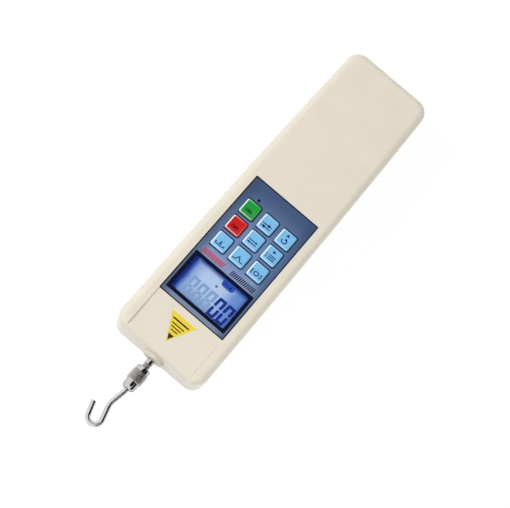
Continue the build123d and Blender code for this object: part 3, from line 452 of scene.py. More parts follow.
def knurl_tree():
    """Rows of staggered diamonds round a cylinder that lies along Y."""
    tree = Tree("knurl", {
        "Radius": "NodeSocketFloat", "Start": "NodeSocketFloat", "Length": "NodeSocketFloat",
        "Axis Height": "NodeSocketFloat", "Depth": "NodeSocketFloat", "Round": "NodeSocketInt",
        "Rows": "NodeSocketInt", "Material": "NodeSocketMaterial",
    })
    index = tree.add("GeometryNodeInputIndex").outputs[0]
    total = tree.maths("MULTIPLY", tree.given("Round"), tree.given("Rows"))
    column = tree.maths("MODULO", index, tree.given("Round"))
    row = tree.maths("FLOOR", tree.maths("DIVIDE", index, tree.given("Round")))
    stagger = tree.maths("MULTIPLY", tree.maths("MODULO", row, 2.0), 0.5)
    share = tree.maths("DIVIDE", tree.maths("ADD", column, stagger), tree.given("Round"))
    angle = tree.maths("MULTIPLY", share, 2 * math.pi)
    outward = tree.vector(tree.maths("COSINE", angle), 0.0, tree.maths("SINE", angle))
    row_pitch = tree.maths("DIVIDE", tree.given("Length"), tree.maths("ADD", tree.given("Rows"), 1.0))
    rise = tree.maths("MULTIPLY", tree.maths("ADD", row, 1.0), row_pitch)
    along = tree.maths("ADD", tree.given("Start"), rise)
    reach = tree.add(
        "ShaderNodeVectorMath", {0: outward, "Scale": tree.given("Radius")}, operation="SCALE",
    )
    centre = tree.vector(0.0, along, tree.given("Axis Height"))
    place = tree.add("ShaderNodeVectorMath", {0: reach.outputs[0], 1: centre}, operation="ADD")
    points = tree.add("GeometryNodePoints", {"Count": total, "Position": place.outputs[0]})
    diamond = tree.add(
        "GeometryNodeMeshCone",
        {"Vertices": 4, "Radius Top": KNURL_TIP, "Radius Bottom": 1.0, "Depth": 1.0}, fill_type="NGON",
    )
    turn = tree.add(
        "FunctionNodeAxesToRotation", {"Primary Axis": outward, "Secondary Axis": (0.0, 1.0, 0.0)},
        primary_axis="Z", secondary_axis="Y",
    )
    around = tree.maths("MULTIPLY", tree.given("Radius"), 2 * math.pi)
    half_width = tree.maths("DIVIDE", tree.maths("DIVIDE", around, tree.given("Round")), 2.0)
    scale = tree.vector(half_width, row_pitch, tree.given("Depth"))
    spread = tree.add("GeometryNodeInstanceOnPoints", {
        "Points": points.outputs[0], "Instance": diamond.outputs[0], "Rotation": turn.outputs[0],
        "Scale": scale,
    })
    return tree.finish(spread.outputs[0])


def thread_tree():
    """A pointed ridge that winds round a shaft along Y."""
    tree = Tree("thread", {
        "Radius": "NodeSocketFloat", "Pitch": "NodeSocketFloat", "Turns": "NodeSocketFloat",
        "Start": "NodeSocketFloat", "Axis Height": "NodeSocketFloat", "Material": "NodeSocketMaterial",
    })
    rise = tree.maths("MULTIPLY", tree.given("Pitch"), tree.given("Turns"))
    helix = tree.add("GeometryNodeCurveSpiral", {
        "Resolution": THREAD_STEPS, "Rotations": tree.given("Turns"), "Start Radius": tree.given("Radius"),
        "End Radius": tree.given("Radius"), "Height": rise,
    })
    upright = tree.add("GeometryNodeSetCurveNormal", {"Curve": helix.outputs[0]}, mode="Z_UP")
    half = tree.maths("MULTIPLY", tree.given("Pitch"), THREAD_SHARE)
    ridge = tree.add("GeometryNodeCurvePrimitiveCircle", {"Resolution": 4, "Radius": half}, mode="RADIUS")
    swept = tree.add("GeometryNodeCurveToMesh", {
        "Curve": upright.outputs[0], "Profile Curve": ridge.outputs[0], "Fill Caps": True,
    })
    place = tree.vector(0.0, tree.given("Start"), tree.given("Axis Height"))
    laid = tree.add("GeometryNodeTransform", {
        "Geometry": swept.outputs[0], "Translation": place, "Rotation": (math.pi / 2, 0.0, 0.0),
    })
    return tree.finish(laid.outputs[0])


def scatter_tree():
    """Copies of one small mesh at given points."""
    tree = Tree("scatter", {
        "Form": "NodeSocketObject", "Turn": "NodeSocketFloat", "Material": "NodeSocketMaterial",
    })
    form = tree.add("GeometryNodeObjectInfo", {"Object": tree.given("Form")})
    turn = tree.vector(0.0, 0.0, tree.given("Turn"))
    spread = tree.add("GeometryNodeInstanceOnPoints", {
        "Points": tree.given("Geometry"), "Instance": form.outputs["Geometry"],
    })
    turned_copies = tree.add("GeometryNodeRotateInstances", {
        "Instances": spread.outputs[0], "Rotation": turn, "Local Space": True,
    })
    return tree.finish(turned_copies.outputs[0])


def bars_tree():
    """A row of slanted bars that lie flat, with an even gap between them."""
    tree = Tree("bars", {
        "Count": "NodeSocketInt", "Pitch": "NodeSocketFloat", "Width": "NodeSocketFloat",
        "Height": "NodeSocketFloat", "Thickness": "NodeSocketFloat", "Slant": "NodeSocketFloat",
        "Place": "NodeSocketVector", "Material": "NodeSocketMaterial",
    })
    step = tree.vector(tree.given("Pitch"), 0.0, 0.0)
    line = tree.add("GeometryNodeMeshLine", {"Count": tree.given("Count"), "Offset": step}, mode="OFFSET")
    size = tree.vector(tree.given("Width"), tree.given("Height"), tree.given("Thickness"))
    bar = tree.add("GeometryNodeMeshCube", {"Size": size})
    spread = tree.add("GeometryNodeInstanceOnPoints", {
        "Points": line.outputs[0], "Instance": bar.outputs[0],
    })
    real = tree.add("GeometryNodeRealizeInstances", {"Geometry": spread.outputs[0]})
    laid = tree.add("GeometryNodeTransform", {
        "Geometry": tree.slanted(real.outputs[0], tree.given("Slant")), "Translation": tree.given("Place"),
    })
    return tree.finish(laid.outputs[0])


def segments_tree():
    """Display segments at given points, each of the form that the point's mark asks for, slanted as a row."""
    tree = Tree("segments", {
        "Level": "NodeSocketObject", "Upright": "NodeSocketObject", "Middle": "NodeSocketObject",
        "Slant": "NodeSocketFloat", "Baseline": "NodeSocketFloat", "Material": "NodeSocketMaterial",
    })
    mark = tree.add("GeometryNodeInputNamedAttribute", {"Name": "form"}, data_type="FLOAT").outputs[0]
    joined = tree.add("GeometryNodeJoinGeometry")
    for number, label in enumerate(SEGMENT_FORMS):
        form = tree.add("GeometryNodeObjectInfo", {"Object": tree.given(label)})
        spread = tree.add("GeometryNodeInstanceOnPoints", {
            "Points": tree.given("Geometry"), "Instance": form.outputs["Geometry"],
            "Selection": tree.maths("COMPARE", mark, float(number), 0.5),
        })
        tree.feed(joined.inputs[0], spread.outputs[0])
    real = tree.add("GeometryNodeRealizeInstances", {"Geometry": joined.outputs[0]})
    return tree.finish(tree.slanted(real.outputs[0], tree.given("Slant"), tree.given("Baseline")))


# ---------------------------------------------------------------- materials

PATCH_RANGE = (0.3, 0.7)
WANDER_RANGE = (0.2, 0.8)
PATCH_DETAIL = 4.0
LEAST_ROUGHNESS = 0.02
# Share of white in the painted highlight on the key bevels.
KEY_HIGHLIGHT_WHITE = 0.75
DISPLAY_GLOW = 0.14
BEZEL_BORDER = 2.0
PANEL_STOPS = (
    (0.0, "foot"), (0.3, "foot"), (0.385, "band"), (0.47, "middle"), (0.64, "middle"), (0.8, "between"),
    (0.96, "far"),
)
PANEL_SIDE_SHADE = (0.62, 0.96)
PANEL_SIDE_STRENGTH = 0.68
PANEL_SIDE_DARK = 0.72
FLECK_RANGE = (0.62, 0.75)
FLECK_STRENGTH = 0.12
FLECK_TONE = (0.45, 0.52, 0.7)
BUSH_DARK = 0.86
TRACK_BRIGHT = 1.8
PAD_RANGE = (0.17, 0.15)
PAD_TONE = (0.75, 0.72, 0.6)
FOIL_TONE = (0.35, 0.3, 0.25)
MIRROR_TINT = (0.30, 0.30, 0.30)
WINDOW_TONE = (0.1, 0.16, 0.3)
WHITE = (1, 1, 1)
# Smooth fades over the display: direction, start and end as shares, then the strength at each of the two.
DISPLAY_MIDDLE_FADES = (
    ("up", 0.0, 0.5, 0.85, 0.0),
    ("across", 0.12, 0.32, 0.65, 0.0),
    ("across", 0.6, 0.86, 0.0, 1.0),
)
DISPLAY_EDGE_FADES = (
    ("across", 0.06, 0.17, 1.0, 0.0),
    ("across", 0.88, 1.0, 0.0, 0.35),
    ("up", 0.84, 0.96, 0.0, 0.85),
    ("up", 0.0, 0.05, 0.3, 0.0),
)


def shaded(tone, share):
    """A tone made darker or lighter by a share."""
    return tuple(min(1.0, channel * share) for channel in tone)


class Finish(Wiring):
    """A material with one principled shader, and short ways to feed it from patterns."""

    def __init__(self, name, tone, roughness, metallic=0.0, **constants):
        self.material = bpy.data.materials.new(name)
        self.material.use_nodes = True
        super().__init__(self.material.node_tree)
        self.shader = self.group.nodes["Principled BSDF"]
        self.tone = tuple(tone)
        self.roughness = roughness
        self.set("Base Color", self.tone)
        self.set("Roughness", roughness)
        self.set("Metallic", metallic)
        for label, value in constants.items():
            self.set(label.replace("_", " "), value)
        self.place = self.add("ShaderNodeTexCoord").outputs["Object"]

    def set(self, label, value):
        """Feed one of the shader's own sockets."""
        self.feed(self.shader.inputs[label], value)
        return self

    def stretched(self, scale):
        """Object coordinates, stretched along each axis."""
        return self.add("ShaderNodeMapping", {"Vector": self.place, "Scale": scale}).outputs[0]

    def noise(self, scale, detail=3.0, where=None):
        """The value of a noise pattern."""
        return self.add("ShaderNodeTexNoise", {
            "Vector": where or self.place, "Scale": scale, "Detail": detail,
        }).outputs["Fac"]

    def ranged(self, value, low, high, to_low=0.0, to_high=1.0, smooth=False):
        """A value taken from one range to another."""
        node = self.add("ShaderNodeMapRange", {
            "Value": value, "From Min": low, "From Max": high, "To Min": to_low, "To Max": to_high,
        })
        if smooth:
            node.interpolation_type = "SMOOTHSTEP"
        return node.outputs[0]

    def wander(self, scale, reach, detail=2.0):
        """A soft pattern of small steps to either side of nought."""
        return self.ranged(self.noise(scale, detail), *WANDER_RANGE, -reach, reach)

    def banded(self, value, stops):
        """A colour that runs through stops, each with its place from 0 to 1."""
        node = self.add("ShaderNodeValToRGB", {"Fac": value})
        ramp = node.color_ramp
        ramp.interpolation = "EASE"
        while len(ramp.elements) < len(stops):
            ramp.elements.new(1.0)
        for element, (place, tone) in zip(ramp.elements, stops):
            element.position = place
            element.color = (*tone, 1)
        return node.outputs["Color"]

    def strongest(self, directions, fades):
        """The strongest of several smooth fades, at each place."""
        strength = 0.0
        for direction, *fade in fades:
            strength = self.maths("MAXIMUM", strength, self.ranged(directions[direction], *fade, smooth=True))
        return strength

    def axis(self, letter):
        """One of the Object coordinates."""
        return self.add("ShaderNodeSeparateXYZ", {0: self.place}).outputs[letter]

    def mixed(self, factor, first, second):
        """A colour between two others."""
        node = self.add("ShaderNodeMix", data_type="RGBA")
        for number, value in ((0, factor), (6, first), (7, second)):
            self.feed(node.inputs[number], value)
        return node.outputs[2]

    def clouds(self, scale, amount, detail=PATCH_DETAIL):
        """The base colour, a little lighter and darker in soft patches."""
        share = self.ranged(self.noise(scale, detail), *PATCH_RANGE)
        return self.mixed(share, shaded(self.tone, 1 - amount), shaded(self.tone, 1 + amount))

    def mottle(self, scale, amount, detail=PATCH_DETAIL):
        """Paint the base colour with its clouds."""
        return self.set("Base Color", self.clouds(scale, amount, detail))

    def uneven_gloss(self, scale, amount):
        """Vary the roughness in patches."""
        low, high = max(LEAST_ROUGHNESS, self.roughness - amount), self.roughness + amount
        return self.set("Roughness", self.ranged(self.noise(scale, PATCH_DETAIL), *PATCH_RANGE, low, high))

    def relief(self, height, depth, strength=1.0):
        """Raise the surface by a pattern, its depth in millimetres, on top of any relief that it has."""
        bump = self.add("ShaderNodeBump", {"Height": height, "Distance": depth * MM, "Strength": strength})
        normal = self.shader.inputs["Normal"]
        if normal.links:
            self.feed(bump.inputs["Normal"], normal.links[0].from_socket)
        return self.set("Normal", bump.outputs[0])


FINISHES = {}


def finish(name):
    """The material of that name, made the first time that it is asked for."""
    if name not in FINISHES:
        maker, *details = FINISH_MAKERS[name]
        details = [getattr(colours(), item) if isinstance(item, str) else item for item in details]
        FINISHES[name] = maker(name, *details).material
    return FINISHES[name]


def cream_paint(name):
    """Satin cream stove enamel with a faint orange-peel and long soft waves."""
    paint = Finish(
        name, colours().housing, roughness=0.36, Specular_IOR_Level=0.4, Coat_Weight=0.4, Coat_Roughness=0.2,
    )
    paint.mottle(scale=70, amount=0.018).uneven_gloss(scale=260, amount=0.06)
    paint.relief(paint.noise(scale=1400, detail=2.0), depth=0.03, strength=0.5)
    return paint.relief(paint.noise(scale=45, detail=2.0), depth=0.6, strength=0.08)


def cream_bush(name):
    """The same enamel, a little darker, over the turned bush."""
    paint = Finish(name, shaded(colours().housing, BUSH_DARK), roughness=0.38)
    paint.mottle(scale=180, amount=0.03).uneven_gloss(scale=500, amount=0.06)
    return paint.relief(paint.noise(scale=1600, detail=2.0), depth=0.03, strength=0.5)


def panel_sheet(name):
    """The printed blue-grey sheet, palest below the keys, darker at its far end and its long edges."""
    low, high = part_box("front_panel")
    dark, middle = colours().panel, colours().panel_middle
    tones = {
        "foot": colours().panel_foot, "band": colours().panel_band, "middle": middle,
        "between": tuple((a + b) / 2 for a, b in zip(dark, middle)), "far": dark,
    }
    sheet = Finish(name, dark, roughness=0.42, Specular_IOR_Level=0.15)
    along = sheet.ranged(sheet.axis("Y"), low.y, high.y)
    wandering = sheet.maths("ADD", along, sheet.wander(scale=45, reach=0.03, detail=3.0))
    field = sheet.banded(wandering, [(place, tones[tone]) for place, tone in PANEL_STOPS])
    side = sheet.maths("ABSOLUTE", sheet.axis("X"))
    start, end = (high.x * share for share in PANEL_SIDE_SHADE)
    shade = sheet.ranged(side, start, end, 0.0, PANEL_SIDE_STRENGTH, smooth=True)
    field = sheet.mixed(shade, field, shaded(dark, PANEL_SIDE_DARK))
    fleck = sheet.ranged(sheet.noise(scale=5200, detail=1.0), *FLECK_RANGE, 0.0, FLECK_STRENGTH)
    sheet.set("Base Color", sheet.mixed(fleck, field, FLECK_TONE))
    sheet.uneven_gloss(scale=400, amount=0.08)
    return sheet.relief(sheet.noise(scale=3800, detail=1.0), depth=0.01, strength=0.4)


def key_cap(name, tone):
    """Moulded key plastic with a fine spark texture, and a painted highlight where the mesh marks the bevel.
    """
    cap = Finish(name, tone, roughness=0.30, Specular_IOR_Level=0.3, Coat_Weight=0.5, Coat_Roughness=0.16)
    rim = cap.add("ShaderNodeAttribute", attribute_name="rim").outputs["Fac"]
    white = cap.maths("MULTIPLY", rim, KEY_HIGHLIGHT_WHITE)
    cap.set("Base Color", cap.mixed(white, cap.clouds(scale=420, amount=0.05), WHITE))
    cap.uneven_gloss(scale=900, amount=0.07)
    return cap.relief(cap.noise(scale=4200, detail=2.0), depth=0.01, strength=0.5)


def print_ink(name, tone):
    """Screen-printed ink: flat, slightly broken by the surface under it."""
    ink = Finish(name, tone, roughness=0.5, Specular_IOR_Level=0.1)
    ink.mottle(scale=2400, amount=0.12, detail=2.0)
    return ink.relief(ink.noise(scale=6000, detail=2.0), depth=0.006, strength=0.5)


def black_plastic(name):
    """Moulded black plastic with a fine grain."""
    plastic = Finish(name, colour(5, 12, 38), roughness=0.38, Specular_IOR_Level=0.14)
    plastic.mottle(scale=500, amount=0.2).uneven_gloss(scale=700, amount=0.1)
    return plastic.relief(plastic.noise(scale=5200, detail=2.0), depth=0.02, strength=0.5)


def clear_window(name):
    """The clear window: nearly all see-through, with a slightly uneven gloss."""
    window = Finish(name, WINDOW_TONE, roughness=0.04, Alpha=0.04, IOR=1.49)
    return window.uneven_gloss(scale=800, amount=0.03)


def display_field(name):
    """The lit display: pale in its upper middle, deep blue at its left, upper and right edges."""
    low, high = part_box("display_bezel")
    border = BEZEL_BORDER * MM
    field = Finish(name, colours().display_pale, roughness=0.3, Specular_IOR_Level=0.04)
    wander = field.wander(scale=160, reach=0.008)
    across = field.ranged(field.axis("X"), low.x + border, high.x - border)
    up = field.ranged(field.axis("Y"), low.y + border, high.y - border)
    directions = {"across": field.maths("ADD", across, wander), "up": field.maths("ADD", up, wander)}
    middling = field.strongest(directions, DISPLAY_MIDDLE_FADES)
    tone = field.mixed(middling, colours().display_pale, colours().display_middle)
    edge = field.strongest(directions, DISPLAY_EDGE_FADES)
    glow = field.mixed(edge, tone, colours().display_deep)
    return field.set("Base Color", glow).set("Emission Color", glow).set("Emission Strength", DISPLAY_GLOW)


def display_ink(name, tone):
    """Liquid crystal segments, faintly uneven."""
    ink = Finish(name, tone, roughness=0.3, Specular_IOR_Level=0.04)
    return ink.mottle(scale=1500, amount=0.1, detail=2.0)


def pointer_vinyl(name):
    """Yellow vinyl with a fine leathery surface."""
    vinyl = Finish(name, colours().pointer, roughness=0.4)
    vinyl.mottle(scale=420, amount=0.06).uneven_gloss(scale=700, amount=0.08)
    return vinyl.relief(vinyl.noise(scale=3600, detail=2.0), depth=0.01, strength=0.5)


def chrome(name, tone, roughness, depth, fineness):
    """Bright plated metal with machining lines, of a given depth and fineness along x, y and z."""
    metal = Finish(name, tone, roughness, metallic=1.0, Specular_Tint=MIRROR_TINT)
    lines = metal.noise(1.0, where=metal.stretched(fineness))
    metal.uneven_gloss(scale=650, amount=roughness / 2)
    return metal.mottle(scale=300, amount=0.04).relief(lines, depth, strength=0.6)


def zinc_steel(name):
    """Zinc-plated steel with a cloudy passivated tone."""
    metal = Finish(name, colour(188, 188, 184), roughness=0.34, metallic=1.0)
    metal.mottle(scale=900, amount=0.14).uneven_gloss(scale=1200, amount=0.12)
    return metal.relief(metal.noise(scale=5200), depth=0.01, strength=0.6)


def bare_aluminium(name):
    """Milled aluminium with straight cutter lines across it."""
    metal = Finish(name, colour(202, 204, 208), roughness=0.3, metallic=1.0)
    lines = metal.noise(1.0, detail=4.0, where=metal.stretched((400, 9000, 400)))
    metal.mottle(scale=220, amount=0.06).uneven_gloss(scale=500, amount=0.08)
    return metal.relief(lines, depth=0.01, strength=0.8)


def circuit_board(name):
    """Solder mask over copper tracks, with small plated pads."""
    board = Finish(name, colours().board, roughness=0.35)
    tracks = board.add("ShaderNodeTexBrick", {
        "Vector": board.place, "Scale": 260.0, "Mortar Size": 0.06, "Color1": (0, 0, 0),
        "Color2": (0.2, 0.2, 0.2), "Mortar": WHITE,
    })
    pads = board.add("ShaderNodeTexVoronoi", {"Vector": board.place, "Scale": 330.0})
    pad_share = board.ranged(pads.outputs["Distance"], *PAD_RANGE)
    masked = board.mixed(tracks.outputs["Color"], board.tone, shaded(board.tone, TRACK_BRIGHT))
    board.set("Base Color", board.mixed(pad_share, masked, PAD_TONE))
    return board.relief(tracks.outputs["Fac"], depth=0.02, strength=0.5)


def gauge_foil(name):
    """Amber film over fine foil lines."""
    foil = Finish(name, colour(196, 138, 62), roughness=0.35)
    wave = foil.add("ShaderNodeTexWave", {"Vector": foil.place, "Scale": 900.0, "Distortion": 0.5})
    return foil.set("Base Color", foil.mixed(wave.outputs["Fac"], foil.tone, FOIL_TONE))


def moulded(name, tone, roughness, grain=3000):
    """A moulded part with soft colour clouds and a fine grain."""
    part = Finish(name, tone, roughness)
    part.mottle(scale=380, amount=0.08).uneven_gloss(scale=600, amount=0.08)
    return part.relief(part.noise(grain, detail=2.0), depth=0.02, strength=0.5)


# Each finish with its maker and what the maker is given; a name stands for one of the scene's own colours.
FINISH_MAKERS = {
    "cream_paint": (cream_paint,),
    "cream_bush": (cream_bush,),
    "panel_sheet": (panel_sheet,),
    "key_blue": (key_cap, "blue_key"),
    "key_green": (key_cap, "green_key"),
    "key_red": (key_cap, "red_key"),
    "legend_ink": (print_ink, "legend"),
    "green_ink": (print_ink, colour(8, 74, 22)),
    "dark_red_ink": (print_ink, colour(104, 8, 10)),
    # Painted shadow round three sides of each key.
    "frame_ink": (print_ink, colour(20, 34, 66)),
    # Painted shade round the panel sheet.
    "border_ink": (print_ink, colour(12, 18, 34)),
    "red_ink": (print_ink, "red_print"),
    "brown_ink": (print_ink, colour(62, 46, 14)),
    "black_ink": (print_ink, "black_print"),
    "black_plastic": (black_plastic,),
    "clear_window": (clear_window,),
    "display_field": (display_field,),
    "digit_ink": (display_ink, "digit"),
    "ghost_ink": (display_ink, "ghost"),
    "glow_ink": (display_ink, colour(44, 84, 196)),
    "dot_ink": (display_ink, colour(84, 98, 140)),
    "pointer_vinyl": (pointer_vinyl,),
    "lamp_lens": (moulded, colour(8, 8, 28), 0.15),
    "hook_chrome": (chrome, (0.72, 0.715, 0.70), 0.21, 0.004, (2500, 60, 2500)),
    "turned_chrome": (chrome, (0.62, 0.62, 0.61), 0.12, 0.01, (60, 6000, 60)),
    "knurled_chrome": (chrome, (0.68, 0.66, 0.64), 0.34, 0.01, (900, 900, 900)),
    "zinc_steel": (zinc_steel,),
    "black_steel": (chrome, colour(58, 58, 62), 0.35, 0.01, (900, 900, 900)),
    "nickel_brass": (chrome, colour(205, 196, 160), 0.24, 0.01, (60, 5000, 60)),
    "bare_aluminium": (bare_aluminium,),
    "battery_can": (chrome, colour(190, 192, 198), 0.28, 0.01, (3000, 60, 3000)),
    "board_green": (circuit_board,),
    "gauge_foil": (gauge_foil,),
    "battery_wrap": (moulded, "wrap", 0.22, 900),
    "grey_rubber": (moulded, colour(84, 86, 92), 0.7),
    "backlight": (moulded, colour(206, 220, 240), 0.4),
    "card_black": (Finish, (0.01, 0.01, 0.012), 0.9),
}


# ---------------------------------------------------------------- operators: studio

CAMERA_LENS = 92.802
CAMERA_PLACE = (0.023177, -0.237179, 0.794137)
CAMERA_RIGHT = (0.76107530, 0.63019269, 0.15369316)
CAMERA_UP = (-0.64828369, 0.73086288, 0.21346597)
CAMERA_CLIP = 0.01
SURROUND_LIGHT = 0.585
FLOOR_SIZE = 5
FLOOR_TONE = (0.86, 0.86, 0.86)
FLOOR_WHITE = 1.02
FLOOR_SHADOW = 0.08
# Each light with its place, its size and its power; each card with its place and its two sides.
LIGHTS = (
    ("key_light", (-0.95, -0.25, 0.80), 0.5, 7.9),
    ("near_light", (0.26, -0.16, 0.34), 0.12, 0.36),
)
LIGHTS_AIM = (0, -0.02, 0)
DARK_CARDS = (
    ("dark_card_above", (0.33, 0.16, 0.95), (0.86, 1.10)),
    ("dark_card_right", (0.55, -0.22, 0.24), (1.0, 0.50)),
)
CARDS_AIM = (0, -0.14, 0.018)


def white_rays(wiring):
    """1 for rays from the camera, off a glossy surface or through glass, which see pure white."""
    path = wiring.add("ShaderNodeLightPath").outputs
    mirrored = wiring.maths("MAXIMUM", path["Is Camera Ray"], path["Is Glossy Ray"])
    return wiring.maths("MAXIMUM", mirrored, path["Is Transmission Ray"])


def facing(place, aim, axis):
    """The matrix of a thing that stands at a place with one of its axes towards an aim."""
    turn = (Vector(aim) - Vector(place)).to_track_quat(axis, "Y")
    return Matrix.Translation(place) @ turn.to_matrix().to_4x4()


class GAUGE_OT_stage(bpy.types.Operator):
    """Set the floor, the lights, the white surround and the camera"""
    bl_idname = "gauge.stage"
    bl_label = "Stage"

    def execute(self, context):
        context.scene.view_settings.view_transform = "Standard"
        self.lay_floor()
        self.hang_lights()
        self.hang_dark_cards()
        self.paint_surround(context.scene)
        self.place_camera(context.scene)
        return {"FINISHED"}

    def lay_floor(self):
        """A pale floor that looks white from the camera and keeps the object's shadow."""
        form = bmesh.new()
        bmesh.ops.create_grid(form, x_segments=1, y_segments=1, size=FLOOR_SIZE)
        floor = solid("floor", form)
        material = bpy.data.materials.new("floor")
        material.use_nodes = True
        material.node_tree.nodes.clear()
        wiring = Wiring(material.node_tree)
        pale = wiring.add("ShaderNodeBsdfDiffuse", {"Color": FLOOR_TONE})
        faint = wiring.add("ShaderNodeBsdfDiffuse", {"Color": (FLOOR_SHADOW,) * 3})
        glow = wiring.add("ShaderNodeEmission", {"Strength": FLOOR_WHITE - FLOOR_SHADOW})
        white = wiring.add("ShaderNodeAddShader", {0: faint.outputs[0], 1: glow.outputs[0]})
        choice = wiring.add("ShaderNodeMixShader", {
            0: white_rays(wiring), 1: pale.outputs[0], 2: white.outputs[0],
        })
        wiring.add("ShaderNodeOutputMaterial", {0: choice.outputs[0]})
        floor.data.materials.append(material)

    def hang_lights(self):
        """A broad soft key light and a weak fill near the hook end."""
        for name, place, size, power in LIGHTS:
            data = bpy.data.lights.new(name, "AREA")
            data.shape = "DISK"
            data.size = size
            data.energy = power
            lamp = linked(name, data)
            lamp.matrix_world = facing(place, LIGHTS_AIM, "-Z")
            lamp.visible_glossy = False

    def hang_dark_cards(self):
        """Dark cards that only the chrome and other glossy surfaces mirror."""
        for name, place, (width, height) in DARK_CARDS:
            form = bmesh.new()
            bmesh.ops.create_grid(form, x_segments=1, y_segments=1, size=0.5)
            spread = facing(place, CARDS_AIM, "Z") @ Matrix.Diagonal((width, height, 1, 1))
            bmesh.ops.transform(form, matrix=spread, verts=form.verts)
            card = solid(name, form, "card_black")
            card.visible_camera = False
            card.visible_diffuse = False
            card.visible_shadow = False
            card.visible_transmission = False

    def paint_surround(self, scene):
        """White where it is seen, at a plain level where it lights."""
        world = bpy.data.worlds.new("studio")
        world.use_nodes = True
        wiring = Wiring(world.node_tree)
        level = wiring.add("ShaderNodeMapRange", {
            "Value": white_rays(wiring), "To Min": SURROUND_LIGHT, "To Max": 1.0,
        })
        background = world.node_tree.nodes["Background"]
        wiring.feed(background.inputs["Color"], WHITE)
        wiring.feed(background.inputs["Strength"], level.outputs[0])
        scene.world = world

    def place_camera(self, scene):
        """Look down on the gauge as it lies on its back, hook towards the lower left."""
        data = bpy.data.cameras.new("camera")
        data.lens = CAMERA_LENS
        data.clip_start = CAMERA_CLIP
        camera = linked("camera", data)
        right, up = Vector(CAMERA_RIGHT), Vector(CAMERA_UP)
        turn = Matrix((right, up, right.cross(up))).transposed()
        camera.matrix_world = Matrix.Translation(CAMERA_PLACE) @ turn.to_4x4()
        scene.camera = camera


# ---------------------------------------------------------------- operators: housing

SCREW_REACH = 4
SCREW_TIP = 1
RECESS_TURN = 0.4
RECESS_ARM = 0.42
RECESS_DEPTH = 1.3
RECESS_OVERLAP = 0.2
RECESS_TAPER = 0.45


class GAUGE_OT_housing(bpy.types.Operator):
    """Paint the front shell and the rear cover"""
    bl_idname = "gauge.housing"
    bl_label = "Housing"

    def execute(self, context):
        dressed("front_housing", "cream_paint")
        dressed("rear_cover", "cream_paint")
        return {"FINISHED"}


class GAUGE_OT_screws(bpy.types.Operator):
    """Cut a cross recess into the head of each housing screw, and dress the anchor screws"""
    bl_idname = "gauge.screws"
    bl_label = "Housing screws"

    def execute(self, context):
        screws = smoothed("housing_screws", "zinc_steel")
        cut = screws.modifiers.new("recess", "BOOLEAN")
        tool = recess_tool()
        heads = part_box("housing_screws")[0].z
        places = [(x, y, heads) for x, y in screw_places("housing_screws")]
        cutters = grown("screw_recesses", scatter_tree(), {
            "Form": tool, "Turn": RECESS_TURN, "Material": finish("zinc_steel"),
        }, points_at("recess_places", places))
        cut.object = cutters
        cut.operation = "DIFFERENCE"
        settle(screws)
        discard(cutters, tool)
        attach(screws, "housing_screws", replaces=True)
        dressed("anchor_screws", "zinc_steel")
        return {"FINISHED"}


def screw_places(node):
    """The x and y of each screw in a node, found from the vertices of its tip."""
    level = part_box(node)[1].z - SCREW_TIP * MM
    groups = []
    for tip in (tuple(v.co.xy) for v in NODES[node].data.vertices if v.co.z > level):
        near = [group for group in groups if math.dist(group[0], tip) < SCREW_REACH * MM]
        if near:
            near[0].append(tip)
        else:
            groups.append([tip])
    return [[sum(values) / len(group) for values in zip(*group)] for group in groups]


def recess_tool():
    """A cross-shaped, tapering cutter for a screw head, standing on the origin."""
    half, arm = sizes().recess_width / 2, RECESS_ARM * MM
    form = bmesh.new()
    outline = [
        (half, arm), (arm, arm), (arm, half), (-arm, half), (-arm, arm), (-half, arm),
        (-half, -arm), (-arm, -arm), (-arm, -half), (arm, -half), (arm, -arm), (half, -arm),
    ]
    lower = form.faces.new([form.verts.new((x, y, -RECESS_OVERLAP * MM)) for x, y in outline])
    upper = extrude(form, lower, (RECESS_DEPTH + RECESS_OVERLAP) * MM)
    bmesh.ops.scale(form, verts=upper, vec=(RECESS_TAPER, RECESS_TAPER, 1))
    return solid("recess_tool", form, "zinc_steel")


# ---------------------------------------------------------------- operators: panel

KEY_FACE = 10.5
KEY_SLOT = 0.25
# Round corners of the painted shadow round each key.
KEY_SHADOW_CORNER = 1.4
KEY_SHADOW_CORNER_STEPS = 6
BAR_CENTRE = 65.7
BAR_SPACING = 1.75
BAR_SLANT = 0.2
# Each row of bars with its ink, where it starts and ends across the panel, and its number of bars.
PANEL_BARS = (
    ("panel_bars_red", "red_ink", -19.6, -3.8, 12),
    ("panel_bars_black", "black_ink", 2.2, 19.8, 14),
)


